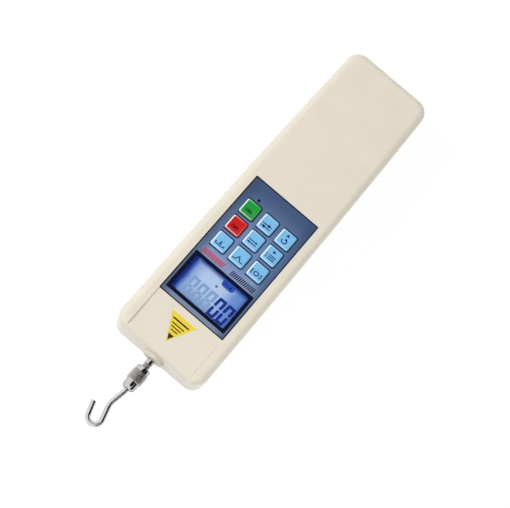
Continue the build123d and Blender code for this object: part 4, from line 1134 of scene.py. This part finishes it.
class GAUGE_OT_panel(bpy.types.Operator):
    """Dress the panel sheet, paint the shade round its edge and the shadows round the keys, and print two
    rows of bars
    """
    bl_idname = "gauge.panel"
    bl_label = "Panel"

    def execute(self, context):
        dressed("front_panel", "panel_sheet")
        low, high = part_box("front_panel")
        self.print_border(low / MM, high / MM)
        self.print_key_frames(high.z)
        self.print_bars(high.z)
        return {"FINISHED"}

    def print_border(self, low, high):
        """Painted shade: a dark line round the sheet, just inside its edge, for the gap and the recess walls'
        shadow round it.
        """
        half = sizes().border_line / MM / 2
        middle_line = rectangle(low.x + half, low.y + half, high.x - half, high.y - half)
        outlines = stroke(middle_line, 2 * half, closed=True)
        thickness = sizes().mark_thickness
        border = prisms("panel_border", outlines, high.z * MM + thickness, thickness, "border_ink")
        attach(border, "front_panel")

    def print_key_frames(self, top):
        """Painted shadow: a dark line round three sides of each key, those away from the key light, for its
        slot and its shadow.
        """
        half = KEY_FACE / 2 + KEY_SLOT
        line = sizes().key_frame_line / MM
        reach = half + line / 2
        inner = reach - KEY_SHADOW_CORNER
        path = [(-half, reach)]
        path += arc((inner, inner), KEY_SHADOW_CORNER, 90, 0, KEY_SHADOW_CORNER_STEPS)
        path += arc((inner, -inner), KEY_SHADOW_CORNER, 0, -90, KEY_SHADOW_CORNER_STEPS)
        path.append((-half, -reach))
        thickness = sizes().mark_thickness
        form = prisms("key_frame_form", stroke(path, line), thickness, thickness, "frame_ink")
        places = [(*middle_of(key), top) for key in KEY_NAMES]
        key_shadow_copies = grown("key_frames", scatter_tree(), {
            "Form": form, "Turn": 0.0, "Material": finish("frame_ink"),
        }, points_at("key_places", places))
        discard(form)
        attach(key_shadow_copies, "front_panel")

    def print_bars(self, top):
        """Two rows of slanted bars between the display and the keys."""
        tree = bars_tree()
        thickness = sizes().mark_thickness
        for name, ink, start, end, count in PANEL_BARS:
            width = (end - start) / (count * BAR_SPACING) * MM
            pitch = ((end - start) * MM - width) / (count - 1)
            place = (start * MM + width / 2, HOOK_END + BAR_CENTRE * MM, top + thickness / 2)
            bars = grown(name, tree, {
                "Count": count, "Pitch": pitch, "Width": width, "Height": sizes().bar_height,
                "Thickness": thickness, "Slant": BAR_SLANT, "Place": place, "Material": finish(ink),
            })
            attach(bars, "front_panel")


# ---------------------------------------------------------------- operators: keys

KEY_STEM = 5.0
KEY_FLANGE = 1.0
KEY_CORNER = 1.2
KEY_CORNER_STEPS = 8
KEY_CORNER_SHRINK = 0.6
KEY_LEAST_CORNER = 0.3
KEY_LEDGE_DEPTH = 2.8
# The bevel from the cap's side to its dished face, as (distance inwards, drop below the top).
KEY_BEVEL = (
    (0.0, 1.0), (0.05, 0.8), (0.2, 0.62), (0.5, 0.36), (0.85, 0.12), (1.05, 0.04), (1.3, 0.0), (1.9, 0.06),
    (3.4, 0.09),
)
# Painted highlight on the key bevels: the band of the bevel that it covers, its faint share all round, and
# how much more it shows on the left and hook-end sides, which face the key light.
KEY_HIGHLIGHT_INNER = 4.3
KEY_HIGHLIGHT_OUTER = 5.1
KEY_HIGHLIGHT_LEAST = 0.1
KEY_HIGHLIGHT_HOOK_SIDE = 0.7
KEY_HIGHLIGHT_POWER = 4
LEGEND_DEPTH = 0.1
LETTER_WEIGHT = 0.13
CAPITAL_SHARE = 0.72
ICON_STRETCH = (1.25, 1.05)
ARROW_RISE = 2.5
KEY_LETTERS = {"key_on": ("ON", "green_ink"), "key_off": ("OFF", "dark_red_ink")}
KEY_ARROWS = {"key_rotate": (90, 210, 330), "key_check": (0, 120, 240)}


class GAUGE_OT_keys(bpy.types.Operator):
    """Mould the nine bevelled key caps over their flanges and stems, and print their legends"""
    bl_idname = "gauge.keys"
    bl_label = "Keys"

    def execute(self, context):
        for key in KEY_NAMES:
            cap = {"key_on": "key_green", "key_off": "key_red"}.get(key, "key_blue")
            attach(self.mould(key, cap), key, replaces=True)
            dressed(key.replace("key_", "plunger_"), "black_plastic")
            attach(self.legend(key), key)
        return {"FINISHED"}

    def mould(self, key, look):
        """A key as one closed skin: stem, flange, upright sides, a broad bevel and a dished face."""
        low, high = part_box(key)
        x, y = middle_of(key)
        top, flange = high.z / MM, (high.x - low.x) / 2 / MM
        ledge = HOUSING_HIGH.z / MM - KEY_LEDGE_DEPTH
        loops = [
            (KEY_STEM / 2, KEY_STEM / 2, low.z / MM), (KEY_STEM / 2, KEY_STEM / 2, ledge - KEY_FLANGE),
            (flange, KEY_CORNER, ledge - KEY_FLANGE), (flange, KEY_CORNER, ledge),
            (KEY_FACE / 2, KEY_CORNER, ledge),
        ]
        for inset, drop in KEY_BEVEL:
            corner = max(KEY_LEAST_CORNER, KEY_CORNER - inset * KEY_CORNER_SHRINK)
            loops.append((KEY_FACE / 2 - inset, corner, top - drop))
        form = bmesh.new()
        # Painted highlight: a value on each vertex of the bevel, strongest where the bevel faces the key
        # light.
        rim = form.verts.layers.float.new("rim")
        rings = []
        for half, corner, height in loops:
            bevelled = KEY_HIGHLIGHT_INNER < half < KEY_HIGHLIGHT_OUTER
            ring = []
            for px, py in self.rounded_square(half, corner):
                vertex = form.verts.new((x + px * MM, y + py * MM, height * MM))
                side = max(0.0, -px / half, -KEY_HIGHLIGHT_HOOK_SIDE * py / half) ** KEY_HIGHLIGHT_POWER
                vertex[rim] = bevelled * (KEY_HIGHLIGHT_LEAST + (1 - KEY_HIGHLIGHT_LEAST) * side)
                ring.append(vertex)
            rings.append(ring)
        join_rings(form, rings)
        cap_rings(form, rings)
        return solid(f"{key}_cap", form, look, SOLID_SMOOTH_ANGLE)

    def rounded_square(self, half, corner):
        """The outline of a square with round corners, centred on the origin."""
        inner = half - corner
        outline = []
        for number, (side_x, side_y) in enumerate(((1, 1), (-1, 1), (-1, -1), (1, -1))):
            start = 90 * number
            outline += arc((side_x * inner, side_y * inner), corner, start, start + 90, KEY_CORNER_STEPS)
        return outline

    def legend(self, key):
        """Letters for the on and off keys, and a pictogram for each of the others."""
        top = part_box(key)[1].z
        x, y = middle_of(key)
        x, y = x / MM, (y - sizes().legend_drop) / MM
        if key in KEY_LETTERS:
            words, ink = KEY_LETTERS[key]
            return lettering(f"{key}_legend", words, (x, y), top, ink)
        across, along = ICON_STRETCH
        icon = KEY_ICONS[key](sizes().icon_line / MM)
        outlines = [[(x + across * px, y + along * py) for px, py in outline] for outline in icon]
        if key in KEY_ARROWS:
            reach = sizes().arrow_size / MM / 2
            centre = (x, y + sizes().legend_drop / MM + ARROW_RISE)
            outlines.append([on_circle(centre, reach, angle) for angle in KEY_ARROWS[key]])
        return prisms(f"{key}_legend", outlines, top, LEGEND_DEPTH * MM, "legend_ink")


def lettering(name, words, centre, top, look):
    """Raised letters, centred on a place, as a plain mesh."""
    data = bpy.data.curves.new(name, "FONT")
    data.body = words
    data.size = sizes().legend_height / CAPITAL_SHARE
    data.extrude = LEGEND_DEPTH * MM / 2
    data.offset = LETTER_WEIGHT * MM
    data.align_x = "CENTER"
    data.align_y = "CENTER"
    text = linked(name, data)
    bpy.context.view_layer.update()
    mesh = bpy.data.meshes.new_from_object(text.evaluated_get(bpy.context.evaluated_depsgraph_get()))
    discard(text)
    mesh.transform(Matrix.Translation((centre[0] * MM, centre[1] * MM, top - LEGEND_DEPTH * MM / 2)))
    form = bmesh.new()
    form.from_mesh(mesh)
    bmesh.ops.remove_doubles(form, verts=form.verts, dist=WELD * MM)
    return solid(name, form, look)


def icon_save(line):
    """An arrow down into a tray."""
    tray = stroke([(-2.4, 0.1), (-2.4, -1.3), (2.4, -1.3), (2.4, 0.1)], line)
    stem = stroke([(0, 1.6), (0, 0.1)], line)
    return tray + stem + [[(-0.9, 0.2), (0, -0.85), (0.9, 0.2)]]


def icon_peak(line):
    """A trace that rises to one peak."""
    return stroke([(-3.0, -1.2), (-1.3, -1.2), (0, 1.4), (1.3, -1.2), (3.0, -1.2)], line)


def icon_zero(line):
    """A nought between two brackets."""
    ring = stroke(ring_of((0, 0), 1.2, 23), line, closed=True)
    left = stroke([(-2.1, 1.2), (-2.7, 1.2), (-2.7, -1.2), (-2.1, -1.2)], line)
    right = stroke([(2.1, 1.2), (2.7, 1.2), (2.7, -1.2), (2.1, -1.2)], line)
    return ring + left + right


def icon_unit(line):
    """Two opposed arrows."""
    upper = stroke([(-2.6, 0.75), (1.6, 0.75)], line) + [[(1.5, 1.5), (1.5, 0.0), (2.8, 0.75)]]
    lower = stroke([(2.6, -0.85), (-1.6, -0.85)], line) + [[(-1.5, -0.1), (-1.5, -1.6), (-2.8, -0.85)]]
    return upper + lower


def icon_check(line):
    """Three short lines of a list."""
    marks = []
    for y in (1.15, 0.0, -1.15):
        marks += stroke([(-2.7, y), (-2.0, y)], line) + stroke([(-1.2, y), (2.7, y)], line)
    return marks


def icon_set(line):
    """Two slide controls."""
    marks = []
    for y, x in ((0.8, 1.1), (-0.9, -1.1)):
        marks += stroke([(-2.8, y), (2.8, y)], line) + stroke([(x, y + 0.75), (x, y - 0.75)], 2 * line)
    return marks


def icon_rotate(line):
    """A turning arrow."""
    turn = stroke(arc((0, -0.1), 1.35, -200, 70, 18), line)
    return turn + [[(0.0, 0.45), (0.0, 2.05), (1.35, 1.25)]]


KEY_ICONS = {
    "key_save": icon_save, "key_peak": icon_peak, "key_zero": icon_zero, "key_unit": icon_unit,
    "key_check": icon_check, "key_set": icon_set, "key_rotate": icon_rotate,
}


# ---------------------------------------------------------------- operators: display

MARK_LAYER = 0.02
MARK_HEIGHT = MARK_LAYER / 2
PATCH_LEFT = 1.9
PATCH_RIGHT = 10.9
PATCH_CORNER = 2.1
PATCH_CENTRE = 58.4
PATCH_TOP = 60.6
PATCH_SQUARES = (4.3, 6.2, 8.1)
PATCH_SQUARE = 0.6
# The two brackets beside the squares: x, radius, first and last angle, and line width.
PATCH_BRACKETS = ((3.6, 1.3, 100, 260, 0.35), (9.2, 1.2, 60, 300, 0.4))
BRACKET_STEPS = 8
DOT = (1.0, 53.8)
DOT_RADIUS = 0.8
DECIMAL_POINT = (12.4, 37.3)
DECIMAL_RADIUS = 0.55
ROUND_MARK_STEPS = 11
SEGMENT_GAP = 0.25
SEGMENT_CORNER = 0.6
INNER_SEGMENT_CORNER = 0.8
MIDDLE_SEGMENT_INSET = 0.6
# How far each segment form lies below its layer, as a share of the layer.
SEGMENT_DROPS = {"Level": 0, "Middle": 0.1, "Upright": 0.2}
DIGIT_BASE = 38.0
DIGIT_START = 6.9
DIGIT_SLANT = 0.08
# Each segment of a digit: its place as shares of the digit's width and height, and its form.
NOUGHT = (
    (0.5, 0.0, "Level"), (0.5, 1.0, "Level"), (0.0, 0.25, "Upright"), (0.0, 0.75, "Upright"),
    (1.0, 0.25, "Upright"), (1.0, 0.75, "Upright"),
)
EIGHT = NOUGHT + ((0.5, 0.5, "Middle"),)
DIGIT_ROWS = (
    ("display_digits", "digit_ink", (0, 1), NOUGHT),
    ("display_ghost_digits", "ghost_ink", (-1, -2, -3), EIGHT),
)


class GAUGE_OT_display(bpy.types.Operator):
    """Dress the display and lay out its digits and marks"""
    bl_idname = "gauge.display"
    bl_label = "Display"

    def execute(self, context):
        dressed("display_bezel", "black_plastic")
        dressed("display_window", "clear_window")
        dressed("display_glass", "display_field")
        self.light_digits()
        self.light_marks()
        return {"FINISHED"}

    def light_digits(self):
        """Two lit noughts and three unlit eights to their left."""
        tree = segments_tree()
        forms = self.segments()
        baseline = HOOK_END + DIGIT_BASE * MM
        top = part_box("display_glass")[1].z + MARK_LAYER * MM
        for name, ink, columns, segments in DIGIT_ROWS:
            places, marks = [], []
            for column in columns:
                start = DIGIT_START * MM + column * sizes().digit_pitch
                for x, y, form in segments:
                    place = (start + x * sizes().digit_width, baseline + y * sizes().digit_height, top)
                    places.append(place)
                    marks.append(float(SEGMENT_FORMS.index(form)))
            seed = points_at(f"{name}_seed", places)
            seed.attributes.new("form", "FLOAT", "POINT").data.foreach_set("value", marks)
            digits = grown(name, tree, {
                **forms, "Slant": DIGIT_SLANT, "Baseline": baseline, "Material": finish(ink),
            }, seed)
            attach(digits, "display_glass")
        discard(*forms.values())

    def segments(self):
        """The three segment forms, at slightly different heights so that no two share a plane."""
        line = sizes().digit_line / MM / 2
        width, quarter = sizes().digit_width / MM / 2, sizes().digit_height / MM / 4
        inner_corner = line * INNER_SEGMENT_CORNER
        level = self.segment(width + line, line, SEGMENT_CORNER)
        middle = self.segment(width - line * MIDDLE_SEGMENT_INSET, line, inner_corner)
        upright = [(-y, x) for x, y in self.segment(quarter - SEGMENT_GAP, line, inner_corner)]
        forms = {}
        for label, outline in zip(SEGMENT_FORMS, (level, upright, middle)):
            top = -SEGMENT_DROPS[label] * MARK_LAYER * MM
            forms[label] = prisms(f"{label.lower()}_segment", [outline], top, MARK_HEIGHT * MM, "digit_ink")
        return forms

    def segment(self, half_length, half_line, cut):
        """The outline of a level segment whose corners are cut off, centred on the origin."""
        return [
            (-half_length, half_line - cut), (cut - half_length, half_line), (half_length - cut, half_line),
            (half_length, half_line - cut), (half_length, cut - half_line), (half_length - cut, -half_line),
            (cut - half_length, -half_line), (-half_length, cut - half_line),
        ]

    def light_marks(self):
        """Three squares and their brackets on a bright patch, one small dot and the decimal point."""
        base = HOOK_END / MM
        middle, edge = base + PATCH_CENTRE, base + PATCH_TOP
        patch = arc((PATCH_LEFT + PATCH_CORNER, middle), PATCH_CORNER, 180, 270)
        patch += arc((PATCH_RIGHT - PATCH_CORNER, middle), PATCH_CORNER, 270, 360)
        patch += [(PATCH_RIGHT, edge), (PATCH_LEFT, edge)]
        self.print_mark("display_patch", [patch], "glow_ink")
        marks = []
        for x, radius, start, end, line in PATCH_BRACKETS:
            marks += stroke(arc((x, middle), radius, start, end, BRACKET_STEPS), line)
        for x in PATCH_SQUARES:
            marks.append(rectangle(
                x - PATCH_SQUARE, middle - PATCH_SQUARE, x + PATCH_SQUARE, middle + PATCH_SQUARE,
            ))
        self.print_mark("display_marks", marks, "digit_ink", layer=2)
        for name, (x, y), radius, ink in (
            ("display_dot", DOT, DOT_RADIUS, "dot_ink"),
            ("display_point", DECIMAL_POINT, DECIMAL_RADIUS, "digit_ink"),
        ):
            self.print_mark(name, [ring_of((x, base + y), radius, ROUND_MARK_STEPS)], ink)

    def print_mark(self, name, outlines, ink, layer=1):
        """Thin marks on one of the layers above the display glass."""
        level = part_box("display_glass")[1].z + layer * MARK_LAYER * MM
        mark = prisms(name, outlines, level, MARK_HEIGHT * MM, ink)
        attach(mark, "display_glass")


# ---------------------------------------------------------------- operators: lamp and pointer

POINTER_X = -0.6
POINTER_FAR = 26.0
POINTER_HEIGHT = 0.06
POINTER_THICKNESS = 0.05
PRINT_HEIGHT = 0.08
PRINT_THICKNESS = 0.03
# Each printed bar of the pointer with its distance from the hook end and its width.
POINTER_BARS = ((22.8, 1.0), (20.2, 0.7), (18.3, 0.7), (16.4, 0.7))
POINTER_MARGIN = 1.5
POINTER_TIP_HALF = 2.0
POINTER_TIP_START = 5.0
POINTER_TIP_END = 1.3
CHANNEL_END_DEPTH = 1.1
CHANNEL_PANEL_DEPTH = 0.6
CHANNEL_LENGTH = 30.9


class GAUGE_OT_lamp(bpy.types.Operator):
    """Dress the status lamp"""
    bl_idname = "gauge.lamp"
    bl_label = "Status lamp"

    def execute(self, context):
        dressed("status_lamp", "lamp_lens")
        return {"FINISHED"}


class GAUGE_OT_pointer(bpy.types.Operator):
    """Lay the yellow pull pointer on the channel floor"""
    bl_idname = "gauge.pointer"
    bl_label = "Pull pointer"

    def execute(self, context):
        half = sizes().pointer_width / 2 / MM
        near = POINTER_FAR - sizes().pointer_length / MM
        corners = [(POINTER_X - half, POINTER_FAR), (POINTER_X + half, POINTER_FAR), (POINTER_X, near)]
        self.lay("pull_pointer", [corners], POINTER_HEIGHT, "pointer_vinyl", POINTER_THICKNESS)
        marks = []
        for y, width in POINTER_BARS:
            reach = half * (y - near) / (POINTER_FAR - near) - POINTER_MARGIN
            marks.append(rectangle(POINTER_X - reach, y - width / 2, POINTER_X + reach, y + width / 2))
        marks.append([
            (POINTER_X - POINTER_TIP_HALF, near + POINTER_TIP_START),
            (POINTER_X + POINTER_TIP_HALF, near + POINTER_TIP_START), (POINTER_X, near + POINTER_TIP_END),
        ])
        self.lay("pull_pointer_print", marks, PRINT_HEIGHT, "brown_ink", PRINT_THICKNESS)
        return {"FINISHED"}

    def lay(self, name, outlines, height, look, thickness):
        """Thin prisms that follow the sloping channel floor, a given height above it."""
        piece = prisms(name, outlines, 0.0, thickness * MM, look)
        for vertex in piece.data.vertices:
            vertex.co.z += channel_floor(vertex.co.y) + height * MM
            vertex.co.y += HOOK_END
        attach(piece, "front_housing")


def channel_floor(distance):
    """The height of the channel floor at a distance from the hook end."""
    share = distance / (CHANNEL_LENGTH * MM)
    depth = CHANNEL_END_DEPTH + share * (CHANNEL_PANEL_DEPTH - CHANNEL_END_DEPTH)
    return HOUSING_HIGH.z - depth * MM


# ---------------------------------------------------------------- operators: measuring train

AXIS_GAP = 0.001
HEAD_AXIS_GAP = 0.0005
THREAD_EDGE = 0.3
SHAFT_EDGE = 0.5
THREAD_SHOULDER = 5.5
THREAD_START_GAP = 0.5
THREAD_END_GAP = 0.6
FRONT_BAND = 3.0
GRIP_BAND = 7.4
REAR_BAND = 3.1
FRONT_RADIUS = 4.4
REAR_RADIUS = 4.2
NOSE_RADIUS = 2.6
NOSE_STEPS = 10
BORE_RADIUS = 2.55
HOOK_BORE_RADIUS = 1.75
HOOK_BORE_LENGTH = 3.0
FRONT_EDGE = ((0.4, 0.0), (0.1, 0.12), (0.0, 0.4))
GRIP_EDGE = 0.25
HOOK_WIRE = 3.18
HOOK_HEAD = 4.7
HOOK_HEAD_THICKNESS = 2.0
HOOK_HEAD_EDGE = 0.2
HOOK_SIDES = 48
HOOK_TIP_EDGE = 0.25
HOOK_NECK_END = 26.5
HOOK_WAIST = (-1.95, 37.9)
HOOK_HEEL = (0.95, 47.9)
HOOK_NECK_BEND = 14.0
HOOK_WAIST_BEND = 9.0
HOOK_BEND_RADIUS = 4.4
HOOK_BEND_ANGLE = 179.5
HOOK_BEND_STEPS = 40
HOOK_TIP_LENGTH = 8.5


class GAUGE_OT_shaft(bpy.types.Operator):
    """Dress the guide bush and build the threaded measuring shaft"""
    bl_idname = "gauge.shaft"
    bl_label = "Shaft and bush"

    def execute(self, context):
        dressed("guide_bush", "cream_bush")
        dressed("guide_nut", "nickel_brass")
        dressed("shaft_lock_nut", "zinc_steel")
        start, end = SHAFT_LOW.y / MM, SHAFT_HIGH.y / MM
        radius = (SHAFT_HIGH.x - SHAFT_LOW.x) / 2 / MM
        core = radius - sizes().thread_depth / MM
        shoulder = HOOK_END / MM - THREAD_SHOULDER
        rod = turned("shaft_rod", [
            (AXIS_GAP, start), (core - THREAD_EDGE, start), (core, start + THREAD_EDGE),
            (core, shoulder - THREAD_EDGE), (radius, shoulder), (radius, end - SHAFT_EDGE),
            (radius - SHAFT_EDGE, end), (AXIS_GAP, end),
        ], "turned_chrome")
        attach(rod, "measuring_shaft", replaces=True)
        threaded = shoulder - THREAD_START_GAP - start - THREAD_END_GAP
        thread = grown("shaft_thread", thread_tree(), {
            "Radius": core * MM, "Pitch": sizes().thread_pitch,
            "Turns": threaded / (sizes().thread_pitch / MM), "Start": (shoulder - THREAD_EDGE) * MM,
            "Axis Height": SHAFT_AXIS.z, "Material": finish("turned_chrome"),
        })
        attach(thread, "measuring_shaft")
        return {"FINISHED"}


class GAUGE_OT_coupler(bpy.types.Operator):
    """Turn the coupler and knurl its grip"""
    bl_idname = "gauge.coupler"
    bl_label = "Coupler"

    def execute(self, context):
        low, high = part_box("coupler")
        top, end = high.y / MM, low.y / MM
        core = ((high.x - low.x) / 2 - sizes().knurl_depth) / MM
        grip_top = top - FRONT_BAND
        grip_end = grip_top - GRIP_BAND
        nose_top = grip_end - REAR_BAND
        profile = [(BORE_RADIUS, top)]
        profile += [(FRONT_RADIUS - inset, top - drop) for inset, drop in FRONT_EDGE]
        profile += [
            (FRONT_RADIUS, grip_top), (core - GRIP_EDGE, grip_top), (core, grip_top - GRIP_EDGE),
            (core, grip_end + GRIP_EDGE), (core - GRIP_EDGE, grip_end), (REAR_RADIUS, grip_end),
            (REAR_RADIUS, nose_top),
        ]
        for step in range(1, NOSE_STEPS + 1):
            angle = math.pi / 2 * step / NOSE_STEPS
            radius = NOSE_RADIUS + (REAR_RADIUS - NOSE_RADIUS) * math.cos(angle)
            profile.append((radius, nose_top + (end - nose_top) * math.sin(angle)))
        bore_end = end + HOOK_BORE_LENGTH
        profile += [(HOOK_BORE_RADIUS, end), (HOOK_BORE_RADIUS, bore_end), (BORE_RADIUS, bore_end)]
        body = turned("coupler_body", profile, "turned_chrome")
        attach(body, "coupler", replaces=True)
        knurl = grown("coupler_knurl", knurl_tree(), {
            "Radius": core * MM, "Start": grip_end * MM, "Length": GRIP_BAND * MM,
            "Axis Height": SHAFT_AXIS.z, "Depth": 2 * sizes().knurl_depth, "Round": sizes().knurl_round,
            "Rows": sizes().knurl_rows, "Material": finish("knurled_chrome"),
        })
        attach(knurl, "coupler")
        return {"FINISHED"}


class GAUGE_OT_hook(bpy.types.Operator):
    """Bend the wire hook, with the head that the coupler holds, and plate its washer"""
    bl_idname = "gauge.hook"
    bl_label = "Hook"

    def execute(self, context):
        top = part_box("hook")[1].y / MM
        neck = top - HOOK_HEAD_THICKNESS
        attach(self.wire(hook_path(neck)), "hook", replaces=True)
        radius, edge = HOOK_HEAD / 2, HOOK_HEAD_EDGE
        head = turned("hook_head", [
            (HEAD_AXIS_GAP, neck), (radius - edge, neck), (radius, neck + edge), (radius, top - edge),
            (radius - edge, top), (HEAD_AXIS_GAP, top),
        ], "hook_chrome")
        attach(head, "hook")
        dressed("swivel_washer", "nickel_brass")
        return {"FINISHED"}

    def wire(self, points):
        """A round wire along points in the shaft's plane, a little thinner at its tip."""
        form = bmesh.new()
        rings = []
        for index, point in enumerate(points):
            before, after = points[max(0, index - 1)], points[min(len(points) - 1, index + 1)]
            run = (after - before).normalized()
            across = Vector((run.y, -run.x, 0))
            radius = HOOK_WIRE / 2 - (HOOK_TIP_EDGE if index == len(points) - 1 else 0.0)
            ring = []
            for step in range(HOOK_SIDES):
                angle = 2 * math.pi * step / HOOK_SIDES
                outward = across * math.cos(angle) + Vector((0, 0, 1)) * math.sin(angle)
                ring.append(form.verts.new(SHAFT_AXIS + point.to_3d() * MM + outward * radius * MM))
            rings.append(ring)
        join_rings(form, rings)
        cap_rings(form, rings)
        return solid("hook_wire", form, "hook_chrome", SOLID_SMOOTH_ANGLE)


def hook_path(start):
    """The wire's centre line as points in millimetres, from its head to its tip."""
    end = HOOK_END / MM
    top, neck = Vector((0, start)), Vector((0, end - HOOK_NECK_END))
    waist = Vector((HOOK_WAIST[0], end - HOOK_WAIST[1]))
    heel = Vector((HOOK_HEEL[0], end - HOOK_HEEL[1]))
    first_bend = bend(top, neck, waist, HOOK_NECK_BEND)
    points = run_of(top, first_bend[0]) + first_bend
    points += bend(neck, waist, heel, HOOK_WAIST_BEND)
    points += run_of(points[-1], heel)[1:]
    run = (heel - waist).normalized()
    centre = heel + Vector((run.y, -run.x)) * HOOK_BEND_RADIUS
    first = math.atan2(heel.y - centre.y, heel.x - centre.x)
    for step in range(1, HOOK_BEND_STEPS + 1):
        angle = first - math.radians(HOOK_BEND_ANGLE) * step / HOOK_BEND_STEPS
        points.append(centre + Vector((math.cos(angle), math.sin(angle))) * HOOK_BEND_RADIUS)
    leave = (points[-1] - points[-2]).normalized()
    tip = points[-1] + leave * HOOK_TIP_LENGTH
    points += run_of(points[-1], tip - leave * HOOK_TIP_EDGE)[1:]
    return points + [tip]


def run_of(start, end, steps=6):
    """Points along a straight run, its start left out."""
    return [start.lerp(end, step / steps) for step in range(1, steps + 1)]


def bend(before, corner, after, radius, steps=14):
    """Points round a fillet of a given radius at a corner."""
    arrive, leave = (corner - before).normalized(), (after - corner).normalized()
    half = arrive.angle(leave) / 2
    setback = radius * math.tan(half)
    inward = (leave - arrive).normalized()
    centre = corner + inward * (radius / math.cos(half))
    first, last = corner - arrive * setback - centre, corner + leave * setback - centre
    points = []
    for step in range(steps + 1):
        share = step / steps
        direction = (first * (1 - share) + last * share).normalized()
        points.append(centre + direction * radius)
    return points


class GAUGE_OT_load_cell(bpy.types.Operator):
    """Dress the load cell, its foils, its anchor block and bolt"""
    bl_idname = "gauge.load_cell"
    bl_label = "Load cell"

    def execute(self, context):
        dressed("load_cell", "bare_aluminium")
        dressed("anchor_block", "bare_aluminium")
        dressed("strain_gauges", "gauge_foil")
        dressed("load_cell_bolt", "black_steel")
        return {"FINISHED"}


# ---------------------------------------------------------------- operators: electrics

ELECTRICS = {
    "board_green": ("main_board", "interface_board"),
    "zinc_steel": ("board_screws", "interface_screws"),
    "black_plastic": (
        "board_chips", "buzzer", "key_switches", "charging_socket", "data_socket", "battery_tray",
    ),
    "backlight": ("display_backlight",),
    "grey_rubber": ("contact_strips",),
    "battery_can": ("battery_cells",),
    "battery_wrap": ("battery_sleeve",),
}


class GAUGE_OT_electrics(bpy.types.Operator):
    """Dress the boards, their parts, the sockets and the batteries"""
    bl_idname = "gauge.electrics"
    bl_label = "Boards, sockets and batteries"

    def execute(self, context):
        for look, nodes in ELECTRICS.items():
            for node in nodes:
                dressed(node, look)
        return {"FINISHED"}


# ---------------------------------------------------------------- add-on

class GAUGE_PT_panel(bpy.types.Panel):
    """Every step of the gauge, in the order in which it is built"""
    bl_idname = "GAUGE_PT_panel"
    bl_label = "Gauge"
    bl_space_type = "VIEW_3D"
    bl_region_type = "UI"
    bl_category = "Gauge"

    def draw(self, context):
        for step in STEPS:
            self.layout.operator(step.bl_idname)
        for group in (context.scene.gauge_sizes, context.scene.gauge_colours):
            box = self.layout.box()
            for item in group.bl_rna.properties:
                if item.identifier not in ("rna_type", "name"):
                    box.prop(group, item.identifier)


STEPS = (
    GAUGE_OT_stage, GAUGE_OT_housing, GAUGE_OT_screws, GAUGE_OT_panel, GAUGE_OT_keys, GAUGE_OT_display,
    GAUGE_OT_lamp, GAUGE_OT_pointer, GAUGE_OT_shaft, GAUGE_OT_coupler, GAUGE_OT_hook, GAUGE_OT_load_cell,
    GAUGE_OT_electrics,
)
CLASSES = (GaugeSizes, GaugeColours, *STEPS, GAUGE_PT_panel)


def register():
    for item in CLASSES:
        bpy.utils.register_class(item)
    bpy.types.Scene.gauge_sizes = PointerProperty(type=GaugeSizes)
    bpy.types.Scene.gauge_colours = PointerProperty(type=GaugeColours)


def unregister():
    del bpy.types.Scene.gauge_sizes
    del bpy.types.Scene.gauge_colours
    for item in reversed(CLASSES):
        bpy.utils.unregister_class(item)


def main():
    """Build every group in order."""
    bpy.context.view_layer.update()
    register()
    for step in STEPS:
        group, name = step.bl_idname.split(".")
        getattr(getattr(bpy.ops, group), name)()


if __name__ == "__main__":
    main()
